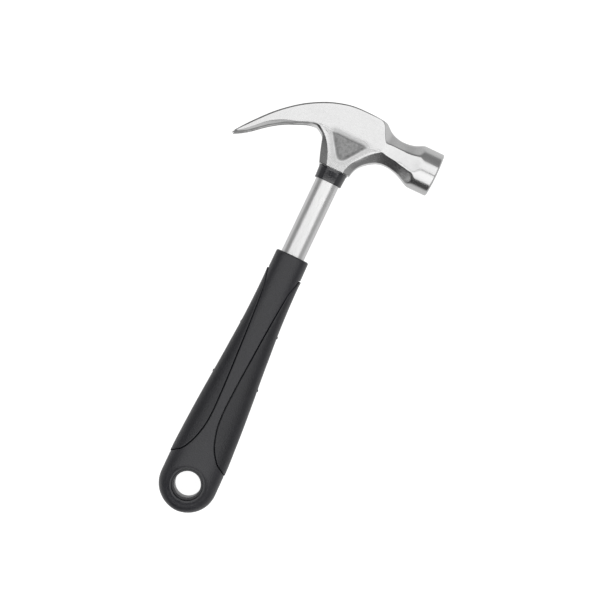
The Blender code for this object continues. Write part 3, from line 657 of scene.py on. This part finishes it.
def add_bell(bm):
    """Carry the open end of the neck on into the bell, ring by ring."""
    cut = [vert for vert in bm.verts if vert.co.x > BELL_SEAM_X]
    bmesh.ops.delete(bm, geom=cut, context="VERTS")
    rim = [vert for vert in bm.verts if vert.is_boundary]
    start_x = sum(vert.co.x for vert in rim) / len(rim)
    axis = float(neck_axis_y(start_x))
    rim.sort(key=lambda vert: math.atan2(vert.co.z, vert.co.y - axis))
    angle = np.array([math.atan2(vert.co.z, vert.co.y - axis) for vert in rim])
    radius = np.array([math.hypot(vert.co.z, vert.co.y - axis) for vert in rim])
    even = np.linspace(0, math.tau, len(rim), endpoint=False) + angle[0]

    def ring(x, radii, angles):
        centre = float(neck_axis_y(x))
        return [bm.verts.new((x, centre + r * math.cos(a), r * math.sin(a)))
                for r, a in zip(radii, angles)]

    loops = [rim]
    body_end = FACE_X - FACE_CHAMFER - RIM_GAP
    count = round((body_end - start_x) / BELL_STEP)
    for step in range(1, count + 1):
        x = start_x + (body_end - start_x) * step / count
        blend = float(smoothstep((x - start_x) / BELL_BLEND))
        shift = float(smoothstep((x - start_x) / BELL_EVEN))
        turn = angle + (even - angle) * shift
        drawn = bell_radius(np.full_like(turn, x), turn)
        start = radius + (drawn - bell_radius(np.full_like(turn, start_x), turn))
        loops.append(ring(x, start * (1 - blend) + drawn * blend, turn))
    for x, inset in RIM_PROFILE:
        loops.append(ring(FACE_X - x, np.full_like(even, BELL_RADIUS - inset), even))
    for fraction in FACE_RINGS:
        radius = (BELL_RADIUS - RIM_PROFILE[-1][1]) * fraction
        loops.append(ring(FACE_X - FACE_DOME * radius ** 2, np.full_like(even, radius), even))
    for first, second in zip(loops, loops[1:]):
        bridge(bm, first, second)
    bridge(bm, loops[-1], [bm.verts.new((FACE_X, BELL_AXIS_Y, 0.0))])


def make_head(material):
    """The forged head in one piece."""
    bm, creases = head_cage()
    bmesh.ops.remove_doubles(bm, verts=bm.verts, dist=TINY)
    crease_lines(bm, creases)
    piece = new_piece("steel_head", bm)
    mirror = piece.modifiers.new("Mirror", "MIRROR")
    mirror.use_axis = (False, False, True)
    mirror.use_clip = True
    mirror.merge_threshold = TINY
    smooth = piece.modifiers.new("Smooth", "SUBSURF")
    smooth.levels = SUBDIVISION
    smooth.render_levels = SUBDIVISION
    apply_modifiers(piece)
    shape_cheeks(piece.data)
    bm = bmesh.new()
    bm.from_mesh(piece.data)
    add_bell(bm)
    bmesh.ops.recalc_face_normals(bm, faces=bm.faces)
    bm.to_mesh(piece.data)
    bm.free()
    ledge = CROWN_Y - EYE_FLARE_DEPTH
    profile = [(0.0, -CUTTER_REACH), (EYE_RADIUS, -CUTTER_REACH), (EYE_RADIUS, ledge - 0.8),
               (EYE_CROWN_RADIUS - 0.15, ledge - 0.15), (EYE_CROWN_RADIUS, ledge),
               (EYE_CROWN_RADIUS, CROWN_Y + CUTTER_REACH), (0.0, CROWN_Y + CUTTER_REACH)]
    cut_away(piece, new_piece("eye_cutter", turned(profile)))
    finish_piece(piece, "head", material)


# --- turned pieces ---
def turned(profile, centre=None):
    """Spin a profile of (radius, distance along the axis) points into a closed solid.

    The axis lies along Y through the origin, or stands upright at a centre given as x and y.
    """
    bm = bmesh.new()
    loops = []
    for radius, along in profile:
        loop = []
        for step in range(ROUND_SEGMENTS if radius > TINY else 1):
            angle = math.tau * step / ROUND_SEGMENTS
            x, across = radius * math.cos(angle), radius * math.sin(angle)
            if centre:
                loop.append(bm.verts.new((centre[0] + x, centre[1] + across, along)))
            else:
                loop.append(bm.verts.new((x, along, across)))
        loops.append(loop)
    pairs = list(zip(loops, loops[1:]))
    if profile[0][0] > TINY:
        pairs.append((loops[-1], loops[0]))
    for first, second in pairs:
        bridge(bm, first, second)
    return bm


def rounded(profile, radius):
    """Round every corner of an open profile whose ends lie on the axis, or of a closed one."""
    count = len(profile)
    closed = profile[0][0] > TINY
    points = []
    for i, corner in enumerate(profile):
        if not closed and i in (0, count - 1):
            points.append(corner)
            continue
        here = Vector(corner)
        before = Vector(profile[i - 1]) - here
        after = Vector(profile[(i + 1) % count]) - here
        reach = min(radius, before.length * 0.45, after.length * 0.45)
        start = here + before.normalized() * reach
        end = here + after.normalized() * reach
        for step in range(CORNER_STEPS + 1):
            t = step / CORNER_STEPS
            points.append(tuple(start * (1 - t) ** 2 + here * 2 * t * (1 - t) + end * t * t))
    return points


def make_tube(material):
    """Steel tube, spread a little where it ends in the eye."""
    profile = [(TUBE_RADIUS, TUBE_BOTTOM_Y), (TUBE_BORE, TUBE_BOTTOM_Y), (TUBE_BORE, TUBE_SPREAD_Y),
               (TUBE_BORE + TUBE_SPREAD, TUBE_TOP_Y), (TUBE_RADIUS + TUBE_SPREAD, TUBE_TOP_Y),
               (TUBE_RADIUS, TUBE_SPREAD_Y), (TUBE_RADIUS, 20.0), (TUBE_RADIUS, -30.0),
               (TUBE_RADIUS, -100.0)]
    piece = new_piece("tube_visual", turned(rounded(profile, 0.35)))
    finish_piece(piece, "handle_tube", material)


def make_expansion_plug(material):
    """Domed plug in the top of the tube."""
    top = TOP_PLUG_TOP_Y
    profile = [(0.0, 22.0), (5.4, 22.0), (6.2, 22.8), (6.2, top - 0.8), (5.6, top), (4.4, top + 0.3),
               (2.6, top + 0.6), (0.0, top + 0.75)]
    piece = new_piece("expansion_plug_visual", turned(rounded(profile, 0.35)))
    finish_piece(piece, "expansion_plug", material)


def make_collar(material):
    """Black ring with a raised upper rim and a rounded lower edge."""
    top = -GAP
    profile = [(TUBE_RADIUS + GAP, top), (9.9, top), (9.9, top - 0.9), (9.6, top - 1.3),
               (9.2, -8.0), (9.3, -8.5), (9.1, -9.2), (TUBE_RADIUS + GAP, -9.2)]
    piece = new_piece("collar_visual", turned(rounded(profile, 0.28)))
    finish_piece(piece, "collar_ring", material)


# --- grip ---
def grip_centre_x(y):
    """The grip's middle line in side view."""
    return GRIP_TOP_OFFSET_X + (GRIP_TOP_Y - y) * math.tan(GRIP_TILT)


def core_edge(distance):
    """Height of the core's surface at a distance inside a pad's outline."""
    rounding = np.clip(distance + CORE_ROUNDING, 0.0, CORE_ROUNDING)
    fillet = np.sqrt(CORE_ROUNDING ** 2 - rounding ** 2 * 0.98) - CORE_ROUNDING
    return np.where(distance > 0.05, -BED_DEPTH, fillet)


def pad_edge(distance):
    """Height of a pad's surface at a distance inside its outline."""
    inside = np.clip(distance - GAP, 0.0, PAD_ROUNDING)
    fillet = np.sqrt(PAD_ROUNDING ** 2 - (PAD_ROUNDING - inside) ** 2) - PAD_ROUNDING
    return np.where(distance < GAP + 0.02, PAD_BASE, PAD_PROUD + fillet)


def ladder(length, start, end, count):
    """Steps from 0 to a length: fine offsets at either end and even ones between."""
    scale = min(1.0, FINE_SHARE * length / max(start[-1], end[-1]))
    first = [offset * scale for offset in start]
    last = [length - offset * scale for offset in reversed(end)]
    between = np.linspace(first[-1], last[0], count + 1)
    return np.concatenate([first[:-1], between, last[1:]])


class Section:
    """One superellipse section of the grip, measured along its upper half from front to rear."""

    def __init__(self, y, half_width, half_thickness):
        self.y = y
        self.size = (half_width, half_thickness)
        self.centre = grip_centre_x(y)
        self.angles = np.linspace(0.0, math.pi, 721)
        points = self.shape(self.angles)
        steps = np.hypot(*np.diff(points, axis=0).T)
        self.arc = np.concatenate([[0.0], np.cumsum(steps)])
        row = max(min(y, PAD_TOP_Y), PAD_BOTTOM_Y)
        middle = table_value(SPINE, row, 1) - self.centre
        half = table_value(SPINE, row, 2)
        self.edges = [self.edge(middle + half), self.arc[-1] - self.edge(half - middle)]

    def shape(self, angles):
        """Points across and up, about the section's centre."""
        power = 2.0 / GRIP_SQUARENESS
        across = np.copysign(np.abs(np.cos(angles)) ** power, np.cos(angles))
        up = np.copysign(np.abs(np.sin(angles)) ** power, np.sin(angles))
        return np.stack([across * self.size[0], up * self.size[1]], axis=1)

    def edge(self, reach):
        """Arc length from the grip's side to where the spine's edge is."""
        share = min(max(reach / self.size[0], 0.0), 1.0)
        angle = math.acos(share ** (GRIP_SQUARENESS / 2.0))
        return max(float(np.interp(angle, self.angles, self.arc)), min(PAD_END_HALF, self.arc[-1] / 4))

    def place(self, arc, height, lower):
        """Points at arc lengths, raised by a height, on the upper or the lower half."""
        angles = np.interp(arc, self.arc, self.angles)
        flat = self.shape(angles)
        lean = GRIP_SQUARENESS - 1.0
        normal = np.copysign(np.abs(flat / self.size) ** lean, flat) / self.size
        normal /= np.maximum(np.hypot(*normal.T), 1e-9)[:, None]
        flat = flat + normal * np.asarray(height)[:, None]
        sign = -1.0 if lower else 1.0
        return np.stack([flat[:, 0] + self.centre, np.full(len(flat), self.y), flat[:, 1] * sign], axis=1)


def grip_sections(rows):
    """Sections at distances along the grip, each with how steeply the pads' edges run there."""
    sections = []
    for y in rows:
        width = table_value(GRIP_SECTIONS, y, 1)
        thickness = table_value(GRIP_SECTIONS, y, 2)
        if y < BUTT_CENTRE_Y:
            cosine = math.sqrt(max(1.0 - ((BUTT_CENTRE_Y - y) / BUTT_RADIUS) ** 2, 0.0))
            width, thickness = BUTT_RADIUS * cosine, thickness * cosine ** BUTT_THICKNESS_POWER
        inset = np.interp(GRIP_TOP_Y - y, *zip(*GRIP_MOUTH))
        sections.append(Section(y, width - inset, thickness - inset))
    edges = np.array([section.edges for section in sections])
    slopes = np.cos(np.arctan(np.gradient(edges, rows, axis=0)))
    for section, slope in zip(sections, slopes):
        section.slopes = slope
    return sections


def pad_distance(section, arc, side):
    """How far inside a pad's outline each point of a section is."""
    number = PAD_SIDES.index(side)
    along = side * (section.edges[number] - arc) * section.slopes[number]
    end = min(PAD_TOP_Y - section.y, section.y - PAD_BOTTOM_Y)
    return np.minimum(along, end)


def spaced(start, end, step):
    """Even steps from one distance down to another."""
    count = max(round(abs(end - start) / step), 1)
    return list(np.linspace(start, end, count + 1))


def grip_rows(extra):
    """Distances along the grip, close together where its shape needs it."""
    rows = spaced(GRIP_TOP_Y - 1.3, BUTT_CENTRE_Y, ROW_STEP) + list(extra)
    for end, sign in ((PAD_TOP_Y, -1), (PAD_BOTTOM_Y, 1)):
        rows += [end + sign * offset for offset in END_OFFSETS]
    rows = sorted(set(round(row, 3) for row in rows), reverse=True)
    kept = rows[:1]
    for row in rows[1:]:
        if kept[-1] - row > 0.04:
            kept.append(row)
    return kept


def add_loops(bm, loops):
    """Faces between loops of points; returns the loops' vertices."""
    made = [[bm.verts.new(point) for point in loop] for loop in loops]
    for first, second in zip(made, made[1:]):
        bridge(bm, first, second)
    return made


def make_grip_core(material):
    """Hard core: mouth, spine, the beds that the pads lie in, and butt with its hang hole."""
    turns = [1 - (1 - step / BUTT_RINGS) ** BUTT_CROWDING for step in range(1, BUTT_RINGS)]
    butt = [BUTT_CENTRE_Y - BUTT_RADIUS * math.sin(math.pi / 2 * turn) for turn in turns]
    mouth = [GRIP_TOP_Y - depth for depth, _ in GRIP_MOUTH[:-1]]
    rows = grip_rows(mouth + spaced(PAD_BOTTOM_Y - 1.0, BUTT_CENTRE_Y, BUTT_STEP) + butt)
    sections = grip_sections(rows)
    hole = (grip_centre_x(HANG_HOLE_Y), HANG_HOLE_Y)
    loops = []
    for section in sections:
        front, rear = section.edges
        arc = np.concatenate([
            ladder(front, [0.0], BED_OFFSETS, BED_COLUMNS)[:-1],
            front + ladder(rear - front, EDGE_OFFSETS, EDGE_OFFSETS, SPINE_COLUMNS)[:-1],
            rear + ladder(section.arc[-1] - rear, BED_OFFSETS, [0.0], BED_COLUMNS)])
        height = core_edge(np.maximum(*[pad_distance(section, arc, side) for side in PAD_SIDES]))
        upper = section.place(arc, height, False)
        lower = section.place(arc[::-1][1:-1], height[::-1][1:-1], True)
        loop = np.concatenate([upper, lower])
        away = np.hypot(loop[:, 0] - hole[0], loop[:, 1] - hole[1])
        lip = HANG_LIP * np.exp(-((away - HANG_LIP_RADIUS) / HANG_LIP_WIDTH) ** 2)
        facing = smoothstep(np.abs(loop[:, 2]) / 6.0 - 0.4)
        loop[:, 2] += np.sign(loop[:, 2]) * lip * facing
        loops.append(loop)
    rim = loops[0] - np.array([sections[0].centre, 0.0, 0.0])
    angles = np.arctan2(rim[:, 2], rim[:, 0])
    bore = []
    for y, wider in [(CORE_BLIND_Y, 0.0)] + [(GRIP_TOP_Y - depth, wider) for depth, wider in BORE_MOUTH]:
        radius = TUBE_RADIUS + GAP + wider
        bore.append(np.stack([radius * np.cos(angles), np.full_like(angles, y),
                              radius * np.sin(angles)], axis=1))
    bm = bmesh.new()
    made = add_loops(bm, bore + loops)
    bridge(bm, [bm.verts.new((0.0, CORE_BLIND_Y, 0.0))], made[0])
    end_y = BUTT_CENTRE_Y - BUTT_RADIUS
    bridge(bm, made[-1], [bm.verts.new((grip_centre_x(end_y), end_y, 0.0))])
    piece = new_piece("grip_core_visual", bm)
    inner, outer, floor = HANG_HOLE_RADIUS, HANG_RECESS_RADIUS, HANG_RECESS_FLOOR
    half = [(inner, floor - 0.45), (inner + 0.12, floor - 0.15), (inner + 0.4, floor), (outer - 0.3, floor),
            (outer, floor + 0.3), (outer, 11.0), (outer + 0.35, 13.2), (outer + 1.5, CUTTER_REACH)]
    profile = [(0.0, -CUTTER_REACH)] + [(r, -z) for r, z in reversed(half)] + half + [(0.0, CUTTER_REACH)]
    cut_away(piece, new_piece("hang_hole_cutter", turned(profile, hole)))
    finish_piece(piece, "grip_core", material)


def make_pad(name, side, material):
    """Soft pad with a rounded rim, a proud upper end and small moulded nubs on its side."""
    extra = []
    for nub_side, y, _ in NUBS:
        if nub_side == side:
            extra += spaced(y + NUB_RADIUS, y - NUB_RADIUS, NUB_STEP)
    rows = [row for row in grip_rows(extra) if PAD_BOTTOM_Y + GAP <= row <= PAD_TOP_Y - GAP]
    sections = grip_sections(rows)
    loops = []
    for section in sections:
        front, rear = section.edges
        reach = front if side > 0 else section.arc[-1] - rear
        gap = GAP / section.slopes[PAD_SIDES.index(side)]
        step = ladder(reach - gap, NUB_OFFSETS, EDGE_OFFSETS, PAD_COLUMNS)
        arc = step if side > 0 else section.arc[-1] - step
        height = pad_edge(pad_distance(section, arc, side))
        height += PAD_LIP * math.exp(-max(PAD_TOP_Y - section.y, 0.0) / PAD_LIP_LENGTH) * (height > 0.0)
        for nub_side, y, size in NUBS:
            if nub_side == side:
                near = 1.0 - ((section.y - y) ** 2 + step ** 2) / NUB_RADIUS ** 2
                height += NUB_HEIGHT * size * np.sqrt(np.maximum(near, 0.0))
        under = arc[::INNER_STRIDE]
        bed = np.full(len(under), PAD_BASE - 0.1)
        upper = section.place(arc, height, False)
        lower = section.place(arc[1:], height[1:], True)
        inner_upper = section.place(under[::-1], bed, False)
        inner_lower = section.place(under[1:], bed[1:], True)
        loops.append(np.concatenate([lower[::-1], upper, inner_upper, inner_lower]))
    bm = bmesh.new()
    made = add_loops(bm, loops)
    for loop in (made[0], made[-1]):
        bm.faces.new(loop)
    piece = new_piece(name + "_visual", bm)
    finish_piece(piece, name, material)


# --- node graphs ---
class Graph:
    """Short ways to add nodes to a shader tree."""

    def __init__(self, tree, clear=False):
        self.tree = tree
        if clear:
            tree.nodes.clear()

    def link(self, source, target):
        """Join an output to an input."""
        self.tree.links.new(source, target)

    def set(self, node, key, value):
        """Link or set one input of a node."""
        target = node.inputs[key]
        if isinstance(value, bpy.types.NodeSocket):
            self.link(value, target)
        else:
            target.default_value = value

    def add(self, kind, **inputs):
        """Add a node; keywords name its inputs, with _ for a space."""
        node = self.tree.nodes.new(kind)
        for key, value in inputs.items():
            self.set(node, key.replace("_", " "), value)
        return node

    def fill(self, kind, values, inputs=None, **settings):
        """Add a node with its settings; the values go to its inputs by number."""
        node = self.tree.nodes.new(kind)
        for key, value in settings.items():
            setattr(node, key, value)
        for number, value in zip(inputs or range(len(values)), values):
            self.set(node, number, value)
        return node.outputs

    def math(self, operation, first, second=0.0, third=0.0):
        """One sum of up to three numbers."""
        return self.fill("ShaderNodeMath", (first, second, third), operation=operation)[0]

    def scaled(self, value, factor, base=0.0):
        """A number times a factor, added to a base."""
        return self.math("MULTIPLY_ADD", value, factor, base)

    def map_range(self, value, from_low, from_high, to_low=0.0, to_high=1.0, curve="LINEAR"):
        """Map one range on to another, and clamp it."""
        values = (value, from_low, from_high, to_low, to_high)
        return self.fill("ShaderNodeMapRange", values, interpolation_type=curve)[0]

    def mix(self, factor, first, second):
        """Mix two numbers."""
        return self.fill("ShaderNodeMix", (factor, first, second), (0, 2, 3))[0]

    def mix_colour(self, factor, first, second):
        """Mix two colours."""
        return self.fill("ShaderNodeMix", (factor, first, second), (0, 6, 7), data_type="RGBA")[2]

    def noise(self, place, scale, detail=2.0, roughness=0.5):
        """Noise texture's value."""
        node = self.add("ShaderNodeTexNoise", Vector=place, Scale=scale, Detail=detail,
                        Roughness=roughness)
        return node.outputs[0]

    def stretched(self, place, scale):
        """The same place, with each axis scaled."""
        return self.fill("ShaderNodeVectorMath", (place, scale), operation="MULTIPLY")[0]

    def dress(self, shader, colour, roughness, relief):
        """Give a shader its colour, roughness and relief: height, strength and distance."""
        height, strength, distance = relief
        bump = self.add("ShaderNodeBump", Height=height, Strength=strength, Distance=distance)
        self.set(shader, "Base Color", colour)
        self.set(shader, "Roughness", roughness)
        self.link(bump.outputs[0], shader.inputs["Normal"])


# --- materials ---
def start_material(name, metallic=0.0):
    """New material; returns it with its graph, its shader and places in millimetres."""
    material = bpy.data.materials.new(name)
    material.use_nodes = True
    graph = Graph(material.node_tree)
    shader = material.node_tree.nodes["Principled BSDF"]
    shader.inputs["Metallic"].default_value = metallic
    place = graph.add("ShaderNodeTexCoord").outputs["Object"]
    return material, graph, shader, graph.stretched(place, (1 / MM,) * 3)


def grey(level, tint=0.0):
    """Neutral colour; a positive tint makes it a little cooler."""
    return (level, level, level * (1 + tint), 1.0)


def make_steel():
    """Belt-polished forging: fine streaks, a few scratches, rough forged skin in the hollows, and its dark
    colour used as painted shade on some edges, in the notch and over the hollows.
    """
    material, graph, shader, place = start_material("forged_steel", 1.0)
    streaks = graph.noise(graph.stretched(place, (0.12, 3.2, 3.2)), 1.0, 3.0, 0.6)
    grain = graph.noise(place, 1.1, 3.0, 0.6)
    clouds = graph.noise(place, 0.09)
    scratch = graph.noise(graph.stretched(place, (0.35, 5.0, 0.9)), 1.0, 1.0)
    # the forged attribute: forged skin in the hollows, and painted shade on edges, in the notch and above
    # the hollows
    forged = graph.add("ShaderNodeAttribute").outputs["Fac"]
    forged.node.attribute_name = "forged"
    pits = graph.noise(place, 1.6, 4.0, 0.7)
    blotches = graph.noise(place, 0.45, 3.0, 0.6)
    pitted = graph.scaled(blotches, 0.6, graph.scaled(pits, 0.4))
    skin = graph.mix_colour(graph.map_range(pitted, 0.36, 0.64), *map(grey, SKIN_GREYS))
    tone = graph.scaled(streaks, 0.5, graph.scaled(grain, 0.5))
    polished = graph.mix_colour(graph.map_range(tone, 0.3, 0.7), *map(grey, STEEL_GREYS))
    rough = graph.scaled(streaks, 0.10, graph.map_range(clouds, 0.3, 0.7, *STEEL_ROUGHNESS))
    rough = graph.scaled(graph.map_range(scratch, 0.70, 0.76), 0.10, rough)
    pitting = graph.math("POWER", forged, 3.0)
    height = graph.mix(pitting, graph.scaled(streaks, 0.35, grain), pits)
    relief = (height, graph.mix(pitting, 0.03, 0.3), 0.3 * MM)
    graph.dress(shader, graph.mix_colour(forged, polished, skin),
                graph.mix(forged, rough, SKIN_ROUGHNESS), relief)
    return material


def make_tube_steel(name, level, rough):
    """Satin plated steel, brushed along the tube, with faint handling marks."""
    material, graph, shader, place = start_material(name, 1.0)
    lines = graph.noise(graph.stretched(place, (5.0, 0.10, 5.0)), 1.0, 3.0, 0.6)
    grain = graph.noise(place, 1.3, 3.0, 0.65)
    clouds = graph.noise(place, 0.12)
    tone = graph.scaled(lines, 0.45, graph.scaled(grain, 0.55))
    colour = graph.mix_colour(graph.map_range(tone, 0.3, 0.7), grey(level * 0.95), grey(level * 1.05))
    rough = graph.scaled(lines, 0.08, graph.map_range(clouds, 0.3, 0.7, rough - 0.07, rough))
    graph.dress(shader, colour, rough, (tone, 0.05, 0.3 * MM))
    return material


def make_black(name, level, rough, depth, scale, ior=1.5):
    """Moulded black with a grain of a depth and a scale, worn a little on its edges."""
    material, graph, shader, place = start_material(name)
    shader.inputs["IOR"].default_value = ior
    cells = graph.add("ShaderNodeTexVoronoi", Vector=place, Scale=scale).outputs["Distance"]
    noise = graph.noise(place, scale * 0.8, 3.0, 0.6)
    clouds = graph.noise(place, 0.07, 3.0)
    dust = graph.map_range(graph.noise(place, 2.6), 0.66, 0.74)
    edge = graph.add("ShaderNodeNewGeometry").outputs["Pointiness"]
    worn = graph.map_range(edge, 0.52, 0.60)
    colour = graph.mix_colour(clouds, grey(level * 0.8, COOLNESS), grey(level * 1.2, COOLNESS))
    colour = graph.mix_colour(graph.scaled(worn, 0.5), colour, grey(level * 2.2, COOLNESS))
    colour = graph.mix_colour(graph.scaled(dust, 0.25), colour, grey(level * 2.5, COOLNESS))
    uneven = graph.map_range(clouds, 0.3, 0.7, rough - 0.12, rough - 0.04)
    uneven = graph.scaled(worn, -0.08, graph.scaled(noise, 0.16, uneven))
    graph.dress(shader, colour, uneven, (graph.scaled(cells, 0.6, noise), depth, 0.4 * MM))
    return material


grip_hard = make_black("grip_hard_black", level=0.0048, rough=0.37, depth=0.42, scale=1.5, ior=1.60)
grip_soft = make_black("grip_soft_black", level=0.0040, rough=0.40, depth=0.50, scale=1.3, ior=1.54)
gloss_black = make_black("gloss_black", level=0.0050, rough=0.15, depth=0.05, scale=1.0, ior=1.85)
plug_black = make_black("plug_black", level=0.05, rough=0.5, depth=0.15, scale=1.0)
make_head(make_steel())
make_tube(make_tube_steel("satin_tube_steel", level=0.73, rough=0.30))
make_expansion_plug(make_tube_steel("turned_plug_steel", level=0.45, rough=0.38))
make_collar(gloss_black)
make_grip_core(grip_hard)
make_pad("front_pad", 1, grip_soft)
make_pad("rear_pad", -1, grip_soft)
end_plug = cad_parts["tube_end_plug"].data
end_plug.materials.clear()
end_plug.materials.append(plug_black)


# --- studio ---
CAMERA_TARGET = (16.77, -85.85)  # design point under the camera
CAMERA_DISTANCE = 1300.0
CAMERA_LENS = 120.0
CAMERA_SENSOR = 36.0
CAMERA_TURN = math.radians(25.5)
SOFTBOX_HEIGHT = 1.6
SOFTBOX_REACH = 2.1  # to either side
SOFTBOX_FRONT = 3.15  # towards the handle
SOFTBOX_BACK = 1.28  # towards the head
SOFTBOX_SPLIT_Y = -170.0  # design y above which the two softboxes meet
SOFTBOX_GAP = 0.16
FRONT_RADIANCE = 1.35  # the one towards the handle
BACK_RADIANCE = 1.15  # the one towards the head
FLOOR_DROP = 0.0002
FLOOR_SIZE = 6.0
FLOOR_GLOW = 0.95
BACKDROP = 0.92  # what the camera sees beyond the floor
SURROUND = (0.075, 0.34)  # light of the studio's walls, towards the handle and the head
BELOW = 0.95  # light that comes up from below
BELOW_START = (0.02, -0.08)  # how far below the horizon it starts, and the change along Y
BELOW_RISE = 0.30
SIDE_BIAS = 0.08  # the one behind the claw is darker
SIDE_GLOW = 0.30  # the walls to either side are lighter


def make_camera():
    """Camera straight above the hammer, turned to show it as it was photographed."""
    lens = bpy.data.cameras.new("camera")
    lens.lens = CAMERA_LENS
    lens.sensor_width = CAMERA_SENSOR
    lens.clip_end = 50.0
    camera = add_object("camera", lens)
    camera.location = to_world((*CAMERA_TARGET, CAMERA_DISTANCE))
    camera.rotation_euler = (0.0, 0.0, CAMERA_TURN)
    bpy.context.scene.camera = camera


def make_softbox(name, low, high, radiance):
    """Rectangular light that faces down, between two corners given as x and y."""
    size = (high[0] - low[0], high[1] - low[1])
    light = bpy.data.lights.new(name, "AREA")
    light.shape = "RECTANGLE"
    light.size, light.size_y = size
    light.energy = radiance * size[0] * size[1] * math.pi
    lamp = add_object(name, light)
    lamp.location = ((low[0] + high[0]) / 2, (low[1] + high[1]) / 2, SOFTBOX_HEIGHT)


def make_floor():
    """Pale floor that glows as well, so that it stays white round the hammer."""
    bm = bmesh.new()
    bmesh.ops.create_grid(bm, x_segments=1, y_segments=1, size=FLOOR_SIZE)
    mesh = bpy.data.meshes.new("floor")
    bm.to_mesh(mesh)
    bm.free()
    floor = add_object("floor", mesh)
    floor.location.z = -FLOOR_DROP
    floor.visible_glossy = False
    material, graph, shader = start_material("floor_white")[:3]
    graph.set(shader, "Base Color", grey(0.3))
    graph.set(shader, "Roughness", 0.9)
    graph.set(shader, "Emission Color", grey(1.0))
    graph.set(shader, "Emission Strength", FLOOR_GLOW)
    mesh.materials.append(material)


def make_world():
    """Grey studio walls, dark towards the handle, and light that comes up from below."""
    world = bpy.data.worlds.new("studio")
    bpy.context.scene.world = world
    world.use_nodes = True
    graph = Graph(world.node_tree, clear=True)
    direction = graph.add("ShaderNodeTexCoord").outputs["Generated"]
    axes = graph.add("ShaderNodeSeparateXYZ", Vector=direction).outputs
    wall = graph.map_range(axes["Y"], -0.8, 0.8, *SURROUND)
    away = graph.math("POWER", graph.math("ABSOLUTE", axes["X"]), 3.0)
    wall = graph.scaled(away, SIDE_GLOW, wall)
    wall = graph.scaled(axes["X"], SIDE_BIAS, wall)
    start = graph.scaled(axes["Y"], BELOW_START[1], BELOW_START[0])
    depth = graph.math("SUBTRACT", graph.scaled(axes["Z"], -1.0), start)
    below = graph.map_range(depth, 0.0, BELOW_RISE, curve="SMOOTHSTEP")
    level = graph.mix(below, wall, BELOW)
    around = graph.add("ShaderNodeBackground", Strength=level).outputs["Background"]
    seen = graph.add("ShaderNodeBackground", Color=grey(BACKDROP)).outputs["Background"]
    path = graph.add("ShaderNodeLightPath").outputs["Is Camera Ray"]
    both = graph.add("ShaderNodeMixShader", Fac=path)
    graph.link(around, both.inputs[1])
    graph.link(seen, both.inputs[2])
    out = graph.add("ShaderNodeOutputWorld")
    graph.link(both.outputs["Shader"], out.inputs["Surface"])


def make_studio():
    """Floor, two softboxes overhead and the surround."""
    bell = to_world((CAMERA_TARGET[0], BELL_AXIS_Y, 0.0))
    split = to_world((0.0, SOFTBOX_SPLIT_Y, 0.0))[1]
    left, right = bell[0] - SOFTBOX_REACH, bell[0] + SOFTBOX_REACH
    make_softbox("softbox_front", (left, bell[1] - SOFTBOX_FRONT), (right, split - SOFTBOX_GAP / 2),
                 FRONT_RADIANCE)
    make_softbox("softbox_back", (left, split + SOFTBOX_GAP / 2), (right, bell[1] + SOFTBOX_BACK),
                 BACK_RADIANCE)
    make_floor()
    make_world()
    bpy.context.scene.view_settings.view_transform = "Standard"


make_camera()
make_studio()
